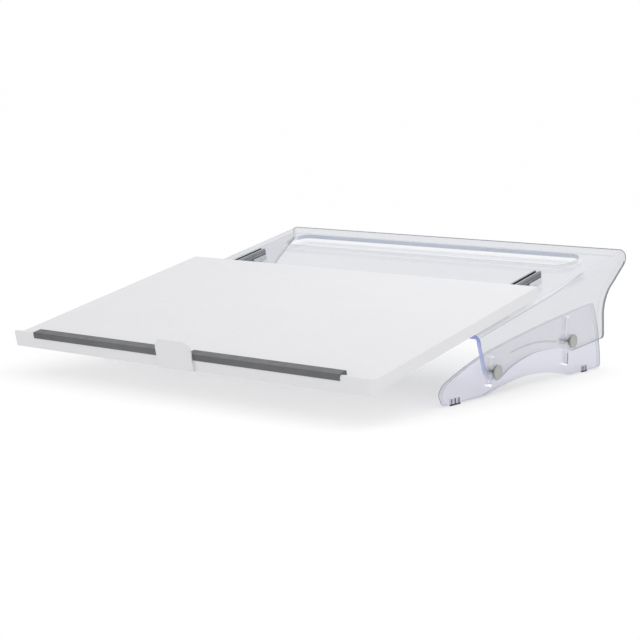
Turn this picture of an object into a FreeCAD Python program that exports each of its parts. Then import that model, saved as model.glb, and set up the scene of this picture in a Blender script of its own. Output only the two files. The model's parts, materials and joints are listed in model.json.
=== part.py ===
"""In-line document holder with a sliding writing tray.

A sheet of clear acrylic, bent down at both sides, makes the sloping deck. Two clear legs stand inside
its side walls, each held by two thumb knobs whose studs pass through the wall and through a slot in the
leg, so that the deck can be raised and tilted. Two lipped channels on the deck carry the white tray.

The part frame has +X to the right, +Y to the back and +Z up, with the floor at Z = 0. Pieces on the
deck are drawn in the deck's own frame: x across, y up the slope from the deck's front edge, z square
to the deck from its top face.
"""

import FreeCAD, Part
import math
import os

import Sketcher

# Driving dimensions: millimetres, and degrees for the angles.
DIMENSIONS = {
    # bent acrylic body
    "deck_width": 525.0,
    "deck_length": 322.0,
    "deck_tilt": 12.2,
    "deck_front_height": 71.3,
    "sheet_thickness": 5.0,
    "trim_allowance": 5.0,
    "bend_radius": 8.5,
    "nose_start_drop": 12.0,
    "nose_lean": 5.0,
    "nose_depth": 46.0,
    "lobe_radius": 30.0,
    "lobe_along": 27.0,
    "lobe_depth": 61.0,
    "wall_arch_start": 47.0,
    "wall_arch_start_depth": 56.0,
    "wall_arch_radius": 228.0,
    "wall_arch_end": 181.0,
    "wall_arch_end_depth": 80.7,
    "wall_heel_along": 254.5,
    "wall_heel_depth": 89.6,
    "wall_throat_depth": 60.0,
    "wall_throat_lean": 4.5,
    "wall_throat_radius": 43.0,
    "tail_reach": 35.0,
    "tail_rise_depth": 31.0,
    "tail_depth": 14.2,
    "tail_radius": 11.0,
    "nose_corner_radius": 14.0,
    "lobe_corner_radius": 20.0,
    "wall_heel_radius": 5.0,
    # pen tray formed in the deck
    "pen_tray_end_margin": 40.5,
    "pen_tray_width": 45.0,
    "pen_tray_back_margin": 30.0,
    "pen_tray_depth": 7.5,
    "pen_tray_corner": 17.0,
    "pen_tray_floor_radius": 2.5,
    "pen_tray_wall": 3.5,
    # stud axes, along and below the deck
    "front_stud_along": 21.7,
    "front_stud_depth": 49.6,
    "rear_stud_along": 180.1,
    "rear_stud_depth": 68.4,
    # thumb knobs and their studs
    "knob_diameter": 16.2,
    "knob_thickness": 2.2,
    "knob_edge": 0.5,
    "knob_gap": 1.0,
    "stud_diameter": 3.0,
    "stud_seat_depth": 1.4,
    "stud_tail": 1.5,
    "washer_diameter": 12.0,
    "washer_thickness": 1.0,
    # clamp nuts behind the slots
    "nut_flange_diameter": 12.0,
    "nut_flange_thickness": 2.5,
    "nut_flat_width": 9.5,
    "rear_boss_diameter": 7.0,
    # legs
    "leg_thickness": 5.0,
    "foot_height": 1.5,
    "toe_reach": 94.4,
    "toe_height": 13.6,
    "toe_sole_reach": 88.0,
    "toe_curve_radius": 22.0,
    "toe_top_reach": 82.0,
    "toe_top_drop": 1.9,
    "leg_front_curve_radius": 545.0,
    "leg_crest_reach": 28.3,
    "leg_crest_rise": 27.9,
    "leg_top_curve_radius": 2580.0,
    "heel_top_reach": 58.5,
    "heel_top_rise": 38.1,
    "heel_curve_radius": 185.0,
    "heel_reach": 78.1,
    "sole_front_end": 9.7,
    "sole_rear_start": 4.5,
    "leg_arch_radius": 331.0,
    "leg_arch_corner_radius": 40.0,
    "leg_corner_radius": 4.5,
    # slots in the legs
    "slot_width": 8.0,
    "slot_end_gap": 0.4,
    "front_slot_lean": 8.2,
    "leg_tilt_range": 4.3,
    "leg_lift_range": 12.7,
    # sight groove cut in the outer face of each leg
    "groove_start_reach": 38.3,
    "groove_start_rise": 16.1,
    "groove_end_reach": 24.5,
    "groove_end_rise": 1.6,
    "groove_arc_radius": 258.0,
    "groove_width": 1.6,
    "groove_depth": 0.5,
    # rubber feet
    "foot_end_margin": 1.2,
    "front_foot_reach": 67.9,
    "rear_foot_reach": 42.5,
    "prong_width": 2.2,
    "prong_pitch": 6.8,
    "prong_height": 6.0,
    # channels on the deck
    "rail_inset": 49.0,
    "rail_width": 9.5,
    "rail_height": 7.7,
    "rail_floor": 1.8,
    "rail_wall": 1.2,
    "rail_lip": 1.4,
    "rail_lip_thickness": 1.2,
    "rail_front_margin": 6.0,
    "rail_stop_length": 4.0,
    "rail_stop_height": 4.4,
    # screws and nuts that hold the channels
    "rail_screw_diameter": 3.0,
    "rail_screw_head_diameter": 5.2,
    "rail_screw_head_height": 1.5,
    "rail_screw_length": 11.5,
    "rail_screw_inset": 22.0,
    "rail_nut_circumradius": 3.2,
    "rail_nut_height": 2.4,
    # sliding tray
    "tray_side_inset": 0.25,
    "tray_depth": 318.5,
    "tray_overhang": 198.0,
    "tray_top_height": 16.9,
    "tray_thickness": 4.0,
    "tray_skirt_drop": 13.5,
    "tray_edge_radius": 1.2,
    "tray_corner_radius": 2.8,
    "ramp_length": 15.0,
    "ramp_rise": 4.6,
    "ramp_crest": 2.5,
    "ramp_nose_drop": 2.5,
    "ramp_nose_radius": 3.6,
    "tab_width": 52.5,
    "tab_rise": 19.6,
    "tab_thickness": 1.8,
    "tab_reach": 2.8,
    "tab_corner_radius": 10.0,
    "tray_travel": 105.0,
    # page-stop strips on the tray's front edge
    "strip_behind_tab": 8.0,
    "strip_end_inset": 35.25,
    "strip_depth": 12.0,
    "strip_lap": 0.8,
    "strip_rise": 6.2,
    "strip_drop": 1.0,
    "strip_edge_radius": 0.8,
    # runners under the tray
    "runner_length": 80.0,
    "runner_foot_width": 6.7,
    "runner_foot_height": 4.3,
    "runner_neck_width": 3.8,
    "runner_flange_width": 14.0,
    "runner_flange_thickness": 2.4,
    "runner_screw_diameter": 2.2,
    "runner_screw_head_diameter": 4.0,
    "runner_screw_head_height": 1.2,
    "runner_screw_length": 4.6,
    "runner_screw_inset": 12.0,
    # clearances
    "slide_gap": 0.2,
    "face_gap": 0.25,
    "end_gap": 0.3,
    "turning_clearance": 0.05,
}

RAIL_SCREW_COUNT = 3
RUNNER_SCREW_COUNT = 2
FRONT_PRONGS = 3
REAR_PRONGS = 2
OVERCUT = 2.0
SIDES = {"left": -1, "right": 1}
ACROSS = FreeCAD.Vector(1, 0, 0)
ALONG = FreeCAD.Vector(0, 1, 0)
UPWARD = FreeCAD.Vector(0, 0, 1)

doc = FreeCAD.newDocument("document_holder")
sheet = doc.addObject("Spreadsheet::Sheet", "Sizes")


class Size(float):
    """A number read or worked out from the sheet, which keeps its formula for expressions."""

    def __new__(cls, value, formula):
        size = super().__new__(cls, value)
        size.formula = formula
        return size

    def __add__(self, other):
        return Size(float(self) + float(other), f"({self.formula} + {formula_of(other)})")

    def __radd__(self, other):
        return Size(float(other) + float(self), f"({formula_of(other)} + {self.formula})")

    def __sub__(self, other):
        return Size(float(self) - float(other), f"({self.formula} - {formula_of(other)})")

    def __rsub__(self, other):
        return Size(float(other) - float(self), f"({formula_of(other)} - {self.formula})")

    def __mul__(self, other):
        return Size(float(self) * float(other), f"({self.formula} * {formula_of(other)})")

    def __rmul__(self, other):
        return Size(float(other) * float(self), f"({formula_of(other)} * {self.formula})")

    def __truediv__(self, other):
        return Size(float(self) / float(other), f"({self.formula} / {formula_of(other)})")

    def __neg__(self):
        return Size(-float(self), f"(-1 * {self.formula})")


def formula_of(number):
    return number.formula if isinstance(number, Size) else f"({float(number)})"


def sine(angle):
    return Size(math.sin(math.radians(angle)), f"sin({angle.formula})")


def cosine(angle):
    return Size(math.cos(math.radians(angle)), f"cos({angle.formula})")


def arc_tangent(ratio):
    return Size(math.degrees(math.atan(ratio)), f"atan({ratio.formula})")


def fill_sheet():
    """Write the driving dimensions to the sheet and return them as sizes by name."""
    for row, (name, value) in enumerate(DIMENSIONS.items(), start=1):
        sheet.set(f"A{row}", name)
        sheet.set(f"B{row}", str(value))
        sheet.setAlias(f"B{row}", name)
    doc.recompute()
    return {name: Size(sheet.get(name), f"Sizes.{name}") for name in DIMENSIONS}


SIZE = fill_sheet()

# ---------------------------------------------------------------------------------------------------
# Places that several pieces share
# ---------------------------------------------------------------------------------------------------

TILT = SIZE["deck_tilt"]
HALF_WIDTH = SIZE["deck_width"] / 2
WALL_INNER = HALF_WIDTH - SIZE["sheet_thickness"]
LEG_OUTER = WALL_INNER - SIZE["face_gap"]
LEG_INNER = LEG_OUTER - SIZE["leg_thickness"]
NUT_OUTER = LEG_INNER - SIZE["face_gap"]
NUT_INNER = NUT_OUTER - SIZE["nut_flange_thickness"]
KNOB_INNER = HALF_WIDTH + SIZE["washer_thickness"] + SIZE["knob_gap"]
KNOB_OUTER = KNOB_INNER + SIZE["knob_thickness"]
STUD_INNER = NUT_INNER - SIZE["stud_tail"]
STUD_HOLE_RADIUS = SIZE["stud_diameter"] / 2 + SIZE["turning_clearance"]

TRAY_HALF_WIDTH = HALF_WIDTH - SIZE["tray_side_inset"]
TRAY_FRONT = -SIZE["tray_overhang"]
TRAY_REAR = TRAY_FRONT + SIZE["tray_depth"]
TRAY_TOP = SIZE["tray_top_height"]
TRAY_UNDER = TRAY_TOP - SIZE["tray_thickness"]
TAB_TOP = TRAY_TOP + SIZE["tab_rise"]

RAIL_CENTRE = HALF_WIDTH - SIZE["rail_inset"]
RAIL_FRONT = SIZE["rail_front_margin"]
RUNNER_FRONT = RAIL_FRONT + SIZE["rail_stop_length"] + SIZE["end_gap"]
RUNNER_REAR = RUNNER_FRONT + SIZE["runner_length"]
REAR_STOP_FRONT = RUNNER_REAR + SIZE["tray_travel"] + SIZE["end_gap"]
RAIL_REAR = REAR_STOP_FRONT + SIZE["rail_stop_length"]
RAIL_LENGTH = RAIL_REAR - RAIL_FRONT
CHANNEL_WIDTH = SIZE["rail_width"] - 2 * SIZE["rail_wall"]
CHANNEL_HEIGHT = SIZE["rail_height"] - SIZE["rail_floor"] - SIZE["rail_lip_thickness"]
MOUTH_WIDTH = CHANNEL_WIDTH - 2 * SIZE["rail_lip"]


def on_floor(along, above):
    """Y from the deck's front edge, and Z from the floor, of a place in the deck's frame."""
    back = along * cosine(TILT) - above * sine(TILT)
    up = SIZE["deck_front_height"] + along * sine(TILT) + above * cosine(TILT)
    return back, up


FRONT_STUD = on_floor(SIZE["front_stud_along"], -SIZE["front_stud_depth"])
REAR_STUD = on_floor(SIZE["rear_stud_along"], -SIZE["rear_stud_depth"])


def depth_middle():
    """Y half-way between the front of the pull tab and the rear corner of the side walls."""
    tail_run = SIZE["tail_reach"]
    tail_climb = SIZE["tail_rise_depth"] - SIZE["tail_depth"]
    tail_slope = arc_tangent(tail_climb / tail_run)
    radius = SIZE["tail_radius"]
    centre_along = SIZE["deck_length"] - radius
    centre_depth = SIZE["tail_depth"] + radius * tail_climb / tail_run - radius / cosine(tail_slope)
    foremost, _ = on_floor(TRAY_FRONT - SIZE["tab_reach"], TAB_TOP)
    hindmost, _ = on_floor(centre_along, -centre_depth)
    return (foremost + hindmost + radius) / 2


DECK_BACK = -depth_middle()


# ---------------------------------------------------------------------------------------------------
# Drawing helpers
# ---------------------------------------------------------------------------------------------------

def drive(feature, path, size):
    """Bind one property of a feature to the sheet, or set it to a plain number."""
    feature.setExpression(path, formula_of(size))


def put(feature, x, y, z, axis=UPWARD, turn=0.0):
    """Place a feature at bound coordinates, turned about an axis by a bound angle."""
    base = FreeCAD.Vector(float(x), float(y), float(z))
    feature.Placement = FreeCAD.Placement(base, FreeCAD.Rotation(axis, float(turn)))
    for letter, size in zip("xyz", (x, y, z)):
        drive(feature, f"Placement.Base.{letter}", size)
    if isinstance(turn, Size):
        drive(feature, "Placement.Rotation.Angle", turn)


def new_body(label, x=0, y=0, z=0, axis=UPWARD, turn=0.0):
    """An empty PartDesign body whose label names its file."""
    body = doc.addObject("PartDesign::Body", label)
    body.Label = label
    body.AllowCompound = True
    put(body, x, y, z, axis, turn)
    return body


def deck_body(label):
    """A body drawn in the deck's frame."""
    return new_body(label, 0, DECK_BACK, SIZE["deck_front_height"], ACROSS, TILT)


def leg_frame_body(label, x):
    """A body drawn in upright Y and Z, from the deck's front edge and the floor."""
    return new_body(label, x, DECK_BACK, 0)


def origin_plane(body, role):
    return next(plane for plane in body.Origin.OriginFeatures if plane.Role == role)


def box(body, kind, name, low, size):
    """An additive or subtractive box from its lowest corner and its three edges."""
    feature = body.newObject(f"PartDesign::{kind}Box", name)
    for path, edge in zip(("Length", "Width", "Height"), size):
        drive(feature, path, edge)
    put(feature, *low)
    return feature


def rod(body, kind, name, start, radius, length, axis=None):
    """An additive or subtractive cylinder that starts at a point and runs along X, or else Z."""
    feature = body.newObject(f"PartDesign::{kind}Cylinder", name)
    drive(feature, "Radius", radius)
    drive(feature, "Height", length)
    if axis is ACROSS:
        put(feature, *start, ALONG, 90.0)
    else:
        put(feature, *start)
    return feature


def centred(width):
    return -width / 2


def arc_through(start, end, radius):
    """Arc from start to end; a positive radius bulges to the right of the way from start to end."""
    (x0, y0), (x1, y1) = start, end
    chord = math.hypot(x1 - x0, y1 - y0)
    offset = math.copysign(math.sqrt(radius ** 2 - chord ** 2 / 4), radius)
    centre_x = (x0 + x1) / 2 - (y1 - y0) / chord * offset
    centre_y = (y0 + y1) / 2 + (x1 - x0) / chord * offset
    circle = Part.Circle(FreeCAD.Vector(centre_x, centre_y, 0), UPWARD, abs(radius))
    first = math.atan2(y0 - centre_y, x0 - centre_x)
    last = math.atan2(y1 - centre_y, x1 - centre_x)
    if radius < 0:
        first, last = last, first
    return Part.ArcOfCircle(circle, first, last)


def outline(body, role, stops):
    """Closed sketch through stops (x, y, radius), each with the bend radius of its run to the next.

    The stops go counterclockwise. A radius of None is a straight run, a positive one bulges outwards
    and a negative one inwards. Every coordinate and radius is bound to the sheet.
    """
    sketch = body.newObject("Sketcher::SketchObject", f"{body.Label}_outline")
    sketch.AttachmentSupport = [(origin_plane(body, role), "")]
    sketch.MapMode = "FlatFace"
    ends = []
    for index, (x, y, radius) in enumerate(stops):
        next_x, next_y, _ = stops[(index + 1) % len(stops)]
        start = (float(x), float(y))
        end = (float(next_x), float(next_y))
        if radius is None:
            run = Part.LineSegment(FreeCAD.Vector(*start, 0), FreeCAD.Vector(*end, 0))
        else:
            run = arc_through(start, end, float(radius))
        edge = sketch.addGeometry(run, False)
        ends.append((edge, 2, 1) if radius is not None and radius < 0 else (edge, 1, 2))
        if radius is not None:
            bend = sketch.addConstraint(Sketcher.Constraint("Radius", edge, abs(float(radius))))
            drive(sketch, f"Constraints[{bend}]", -radius if radius < 0 else radius)
    for index, (x, y, _) in enumerate(stops):
        edge, start_point, end_point = ends[index]
        next_edge, next_start, _ = ends[(index + 1) % len(stops)]
        sketch.addConstraint(Sketcher.Constraint("Coincident", edge, end_point, next_edge, next_start))
        for kind, size in (("DistanceX", x), ("DistanceY", y)):
            place = sketch.addConstraint(
                Sketcher.Constraint(kind, -1, 1, edge, start_point, float(size)))
            drive(sketch, f"Constraints[{place}]", size)
    return sketch


def extrude(body, kind, sketch, length):
    """Pad or pocket a sketch by half the length to each side of its plane."""
    feature = body.newObject(f"PartDesign::{kind}", f"{sketch.Name}_{kind}".lower())
    feature.Profile = sketch
    feature.SideType = "Symmetric"
    drive(feature, "Length", length)
    return feature


def edges_where(shape, wanted):
    """Names of the edges whose middle and direction the test wants."""
    names = []
    for number, edge in enumerate(shape.Edges, start=1):
        middle = edge.valueAt((edge.FirstParameter + edge.LastParameter) / 2)
        direction = edge.tangentAt((edge.FirstParameter + edge.LastParameter) / 2)
        if wanted(middle, direction):
            names.append(f"Edge{number}")
    return names


def round_edges(body, name, wanted, radius):
    """Fillet the wanted edges of the body as it is so far."""
    doc.recompute()
    base = body.Tip
    fillet = body.newObject("PartDesign::Fillet", name)
    fillet.Base = (base, edges_where(base.Shape, wanted))
    drive(fillet, "Radius", radius)
    return fillet


def near(value, target, margin=0.01):
    return abs(float(value) - float(target)) < margin


def crosswise_at(y, z):
    """Test for edges that run along X through a place."""
    return lambda middle, way: near(abs(way.x), 1) and near(middle.y, y) and near(middle.z, z)


# ---------------------------------------------------------------------------------------------------
# Clear body
# ---------------------------------------------------------------------------------------------------

def side_cut_stops():
    """What is trimmed off below and behind the side walls, seen from the right, as one outline."""
    rear = SIZE["deck_length"]
    heel = SIZE["wall_heel_along"]
    throat = heel + SIZE["wall_throat_lean"]
    floor = -SIZE["wall_heel_depth"] - SIZE["trim_allowance"] - OVERCUT
    beyond = rear + OVERCUT
    return [
        (-OVERCUT * ONE, -SIZE["nose_start_drop"], None),
        (-OVERCUT * ONE, floor, None),
        (beyond, floor, None),
        (beyond, -SIZE["tail_depth"], None),
        (rear, -SIZE["tail_depth"], None),
        (rear - SIZE["tail_reach"], -SIZE["tail_rise_depth"], SIZE["wall_throat_radius"]),
        (throat, -SIZE["wall_throat_depth"], None),
        (heel, -SIZE["wall_heel_depth"], None),
        (SIZE["wall_arch_end"], -SIZE["wall_arch_end_depth"], SIZE["wall_arch_radius"]),
        (SIZE["wall_arch_start"], -SIZE["wall_arch_start_depth"], None),
        (SIZE["lobe_along"], -SIZE["lobe_depth"], -SIZE["lobe_radius"]),
        (SIZE["nose_lean"], -SIZE["nose_depth"], None),
        (0 * ONE, -SIZE["nose_start_drop"], None),
    ]


ONE = Size(1.0, "1")


def rounded_rectangle(length, width, middle, radius):
    """Stops of a rectangle across X with round corners, centred on X = 0."""
    half = length / 2
    front, back = middle - width / 2, middle + width / 2
    return [
        (-half + radius, front, None),
        (half - radius, front, radius),
        (half, front + radius, None),
        (half, back - radius, radius),
        (half - radius, back, None),
        (-half + radius, back, radius),
        (-half, back - radius, None),
        (-half, front + radius, radius),
    ]


def make_pen_tray(body):
    """Form the pen tray: a shallow cup under the deck, and the hollow in it."""
    wall, depth, corner = SIZE["pen_tray_wall"], SIZE["pen_tray_depth"], SIZE["pen_tray_corner"]
    length = SIZE["deck_width"] - 2 * SIZE["pen_tray_end_margin"]
    width = SIZE["pen_tray_width"]
    middle = SIZE["deck_length"] - SIZE["pen_tray_back_margin"] - width / 2
    cups = [
        ("Pad", length + 2 * wall, width + 2 * wall, corner + wall, depth + wall),
        ("Pocket", length, width, corner, depth),
    ]
    for kind, long_side, short_side, radius, reach in cups:
        sketch = outline(body, "XY_Plane", rounded_rectangle(long_side, short_side, middle, radius))
        cup = extrude(body, kind, sketch, reach)
        cup.SideType = "One side"
        cup.Reversed = kind == "Pad"

        def around_bottom(point, way):
            inside = abs(point.x) < long_side / 2 + 0.01 and abs(point.y - middle) < short_side / 2 + 0.01
            return near(point.z, -reach) and near(way.z, 0) and inside

        round_edges(body, f"{sketch.Name}_bottom", around_bottom, SIZE["pen_tray_floor_radius"])


def rail_screw_places():
    """Places along the deck of the screws through one channel."""
    first = RAIL_FRONT + SIZE["rail_screw_inset"]
    pitch = (RAIL_LENGTH - 2 * SIZE["rail_screw_inset"]) / (RAIL_SCREW_COUNT - 1)
    return [first + pitch * index for index in range(RAIL_SCREW_COUNT)]


def make_clear_body():
    body = deck_body("clear_body")
    width, length, sheet_gauge = SIZE["deck_width"], SIZE["deck_length"], SIZE["sheet_thickness"]
    depth = SIZE["wall_heel_depth"] + SIZE["trim_allowance"]
    box(body, "Additive", "blank", (-HALF_WIDTH, 0, -depth), (width, length, depth))
    round_edges(body, "outer_bends", lambda point, way: near(abs(way.y), 1) and near(point.z, 0),
                SIZE["bend_radius"])
    box(body, "Subtractive", "hollow", (-WALL_INNER, -OVERCUT, -depth - OVERCUT),
        (2 * WALL_INNER, length + 2 * OVERCUT, depth + OVERCUT - sheet_gauge))
    round_edges(body, "inner_bends",
                lambda point, way: near(abs(way.y), 1) and near(point.z, -sheet_gauge),
                SIZE["bend_radius"] - sheet_gauge)
    sketch = outline(body, "YZ_Plane", side_cut_stops())
    extrude(body, "Pocket", sketch, width + 2 * OVERCUT)
    corners = [
        ("tail_corner", length, -SIZE["tail_depth"], SIZE["tail_radius"]),
        ("heel_corner", SIZE["wall_heel_along"], -SIZE["wall_heel_depth"], SIZE["wall_heel_radius"]),
        ("nose_corner", SIZE["nose_lean"], -SIZE["nose_depth"], SIZE["nose_corner_radius"]),
        ("lobe_corner", SIZE["lobe_along"], -SIZE["lobe_depth"], SIZE["lobe_corner_radius"]),
        ("arch_corner", SIZE["wall_arch_start"], -SIZE["wall_arch_start_depth"],
         SIZE["lobe_corner_radius"]),
    ]
    for name, along, above, radius in corners:
        round_edges(body, name, crosswise_at(along, above), radius)
    make_pen_tray(body)
    for name in ("front_stud", "rear_stud"):
        start = (-HALF_WIDTH - OVERCUT, SIZE[f"{name}_along"], -SIZE[f"{name}_depth"])
        rod(body, "Subtractive", f"{name}_hole", start, STUD_HOLE_RADIUS, width + 2 * OVERCUT, ACROSS)
    for hand in SIDES.values():
        for along in rail_screw_places():
            rod(body, "Subtractive", "rail_screw_hole",
                (hand * RAIL_CENTRE, along, -sheet_gauge - OVERCUT),
                SIZE["rail_screw_diameter"] / 2 + SIZE["turning_clearance"],
                sheet_gauge + 2 * OVERCUT)
    return body


# ---------------------------------------------------------------------------------------------------
# Channels, their stops and their screws
# ---------------------------------------------------------------------------------------------------

def make_rail(side, hand):
    """Lipped channel, open at the top, screwed down to the deck."""
    body = deck_body(f"{side}_rail")
    centre = hand * RAIL_CENTRE
    width, height = SIZE["rail_width"], SIZE["rail_height"]
    box(body, "Additive", "bar", (centre - width / 2, RAIL_FRONT, 0), (width, RAIL_LENGTH, height))
    box(body, "Subtractive", "channel",
        (centre - CHANNEL_WIDTH / 2, RAIL_FRONT - OVERCUT, SIZE["rail_floor"]),
        (CHANNEL_WIDTH, RAIL_LENGTH + 2 * OVERCUT, CHANNEL_HEIGHT))
    box(body, "Subtractive", "mouth",
        (centre - MOUTH_WIDTH / 2, RAIL_FRONT - OVERCUT, SIZE["rail_floor"]),
        (MOUTH_WIDTH, RAIL_LENGTH + 2 * OVERCUT, height))
    clearance = SIZE["turning_clearance"]
    for along in rail_screw_places():
        rod(body, "Subtractive", "screw_hole", (centre, along, -OVERCUT),
            SIZE["rail_screw_diameter"] / 2 + clearance, SIZE["rail_floor"] + 2 * OVERCUT)
        sink = body.newObject("PartDesign::SubtractiveCone", "countersink")
        drive(sink, "Radius1", SIZE["rail_screw_diameter"] / 2 + clearance)
        drive(sink, "Radius2", SIZE["rail_screw_head_diameter"] / 2 + clearance)
        drive(sink, "Height", SIZE["rail_screw_head_height"])
        put(sink, centre, along, SIZE["rail_floor"] - SIZE["rail_screw_head_height"])
    return body


def make_rail_stops():
    """Plugs that close both ends of each channel."""
    body = deck_body("rail_end_stops")
    width = CHANNEL_WIDTH - 2 * SIZE["turning_clearance"]
    for hand in SIDES.values():
        for along in (RAIL_FRONT, REAR_STOP_FRONT):
            box(body, "Additive", "stop", (hand * RAIL_CENTRE - width / 2, along, SIZE["rail_floor"]),
                (width, SIZE["rail_stop_length"], SIZE["rail_stop_height"]))
    return body


def make_rail_screws():
    """Countersunk screws through the channels and the deck, with a nut on each."""
    screws = deck_body("rail_screws")
    nuts = deck_body("rail_nuts")
    head_top = SIZE["rail_floor"]
    shank_length = SIZE["rail_screw_length"] - SIZE["rail_screw_head_height"]
    head_bottom = head_top - SIZE["rail_screw_head_height"]
    radius = SIZE["rail_screw_diameter"] / 2
    for hand in SIDES.values():
        for along in rail_screw_places():
            centre = hand * RAIL_CENTRE
            rod(screws, "Additive", "shank", (centre, along, head_bottom - shank_length), radius,
                shank_length)
            head = screws.newObject("PartDesign::AdditiveCone", "head")
            drive(head, "Radius1", radius)
            drive(head, "Radius2", SIZE["rail_screw_head_diameter"] / 2)
            drive(head, "Height", SIZE["rail_screw_head_height"])
            put(head, centre, along, head_bottom)
            nut = nuts.newObject("PartDesign::AdditivePrism", "nut")
            nut.Polygon = 6
            drive(nut, "Circumradius", SIZE["rail_nut_circumradius"])
            drive(nut, "Height", SIZE["rail_nut_height"])
            put(nut, centre, along, -SIZE["sheet_thickness"] - SIZE["rail_nut_height"])
            rod(nuts, "Subtractive", "thread",
                (centre, along, -SIZE["sheet_thickness"] - SIZE["rail_nut_height"] - OVERCUT),
                radius + SIZE["turning_clearance"], SIZE["rail_nut_height"] + OVERCUT * 1.5)
    return screws, nuts


# ---------------------------------------------------------------------------------------------------
# Legs and feet
# ---------------------------------------------------------------------------------------------------

def leg_stops():
    """Outline of a leg, seen from the right, from the deck's front edge and the floor."""
    front_back, front_up = FRONT_STUD
    rear_back, rear_up = REAR_STUD
    sole = SIZE["foot_height"]
    return [
        (front_back - SIZE["toe_sole_reach"], sole, None),
        (front_back - SIZE["sole_front_end"], sole, -SIZE["leg_arch_radius"]),
        (rear_back + SIZE["sole_rear_start"], sole, None),
        (rear_back + SIZE["heel_reach"], sole, SIZE["heel_curve_radius"]),
        (rear_back + SIZE["heel_top_reach"], rear_up + SIZE["heel_top_rise"],
         SIZE["leg_top_curve_radius"]),
        (front_back + SIZE["leg_crest_reach"], front_up + SIZE["leg_crest_rise"],
         SIZE["leg_front_curve_radius"]),
        (front_back - SIZE["toe_top_reach"], front_up - SIZE["toe_top_drop"],
         SIZE["toe_curve_radius"]),
        (front_back - SIZE["toe_reach"], SIZE["toe_height"], None),
    ]


def rear_slot_line():
    """Middle, lean and travel of the rear slot, from the leg's tilt and lift at its two limits.

    The leg turns about the front stud while it slides along its front slot, so the rear stud travels
    in the leg from one of these ends to the other.
    """
    span_back = REAR_STUD[0] - FRONT_STUD[0]
    span_up = REAR_STUD[1] - FRONT_STUD[1]
    tilt = SIZE["leg_tilt_range"]
    lift = SIZE["leg_lift_range"]
    lean = SIZE["front_slot_lean"]
    turn_back = span_up * sine(tilt)
    turn_up = span_back * sine(tilt)
    shrink = ONE - cosine(tilt)
    reach_back = lift * sine(lean) - turn_back
    reach_up = lift * cosine(lean) + turn_up
    middle_back = REAR_STUD[0] - span_back * shrink / 2
    middle_up = REAR_STUD[1] - span_up * shrink / 2
    rear_lean = arc_tangent(reach_back / reach_up)
    return middle_back, middle_up, rear_lean, reach_up / cosine(rear_lean) + SIZE["slot_end_gap"]


def cut_slot(body, name, middle_back, middle_up, lean, travel):
    """Slot with round ends for a boss that travels this far each way from the middle."""
    width = SIZE["slot_width"]
    thickness = SIZE["leg_thickness"]
    overrun = thickness + 2 * OVERCUT
    reach_back = travel * sine(lean)
    reach_up = travel * cosine(lean)
    for end, way in (("upper", 1), ("lower", -1)):
        rod(body, "Subtractive", f"{name}_{end}_end",
            (-OVERCUT, middle_back + way * reach_back, middle_up + way * reach_up),
            width / 2, overrun, ACROSS)
    slab = body.newObject("PartDesign::SubtractiveBox", f"{name}_middle")
    drive(slab, "Length", overrun)
    drive(slab, "Width", width)
    drive(slab, "Height", 2 * travel)
    corner_back = middle_back - reach_back - width / 2 * cosine(lean)
    corner_up = middle_up - reach_up + width / 2 * sine(lean)
    put(slab, -OVERCUT, corner_back, corner_up, ACROSS, -lean)


def prong_places(count):
    """Places of a foot's prongs, from the foot's middle."""
    return [SIZE["prong_pitch"] * (index - (count - 1) / 2) for index in range(count)]


FEET = {
    "front": (FRONT_STUD[0] - SIZE["front_foot_reach"], FRONT_PRONGS),
    "rear": (REAR_STUD[0] + SIZE["rear_foot_reach"], REAR_PRONGS),
}


def groove_stops():
    """Outline of the sight groove, a shallow arch between the two studs."""
    start_back = FRONT_STUD[0] + SIZE["groove_start_reach"]
    start_up = FRONT_STUD[1] + SIZE["groove_start_rise"]
    end_back = REAR_STUD[0] - SIZE["groove_end_reach"]
    end_up = REAR_STUD[1] + SIZE["groove_end_rise"]
    half = SIZE["groove_width"] / 2
    return [
        (start_back, start_up - half, -SIZE["groove_arc_radius"]),
        (end_back, end_up - half, None),
        (end_back, end_up + half, SIZE["groove_arc_radius"]),
        (start_back, start_up + half, None),
    ]


def cut_groove(body, hand):
    """Cut the sight groove into the leg's outer face."""
    sketch = outline(body, "YZ_Plane", groove_stops())
    if hand > 0:
        sketch.AttachmentOffset = FreeCAD.Placement(
            FreeCAD.Vector(0, 0, SIZE["leg_thickness"]), FreeCAD.Rotation())
        drive(sketch, "AttachmentOffset.Base.z", SIZE["leg_thickness"])
    groove = extrude(body, "Pocket", sketch, SIZE["groove_depth"])
    groove.SideType = "One side"
    groove.Reversed = hand < 0


def make_leg(side, hand):
    """Flat clear leg that slides and turns against the inside of the side wall."""
    inner = LEG_INNER if hand > 0 else -LEG_OUTER
    body = leg_frame_body(f"{side}_leg", inner)
    thickness = SIZE["leg_thickness"]
    pad = extrude(body, "Pad", outline(body, "YZ_Plane", leg_stops()), thickness)
    pad.SideType = "One side"
    stops = leg_stops()
    small, large = SIZE["leg_corner_radius"], SIZE["leg_arch_corner_radius"]
    radii = [small, large, large, small, small, None, None, small]
    for (back, up, _), radius in zip(stops, radii):
        if radius is not None:
            round_edges(body, "leg_corner", crosswise_at(back, up), radius)
    cut_slot(body, "front_slot", *FRONT_STUD, SIZE["front_slot_lean"],
             SIZE["leg_lift_range"] + SIZE["slot_end_gap"])
    middle_back, middle_up, lean, travel = rear_slot_line()
    cut_slot(body, "rear_slot", middle_back, middle_up, lean, travel)
    notch = SIZE["prong_width"] + 2 * SIZE["turning_clearance"]
    for middle, count in FEET.values():
        for offset in prong_places(count):
            box(body, "Subtractive", "prong_notch",
                (-OVERCUT, middle + offset - notch / 2, SIZE["foot_height"] - OVERCUT),
                (thickness + 2 * OVERCUT, notch,
                 SIZE["prong_height"] + SIZE["turning_clearance"] + OVERCUT))
    cut_groove(body, hand)
    return body


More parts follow.
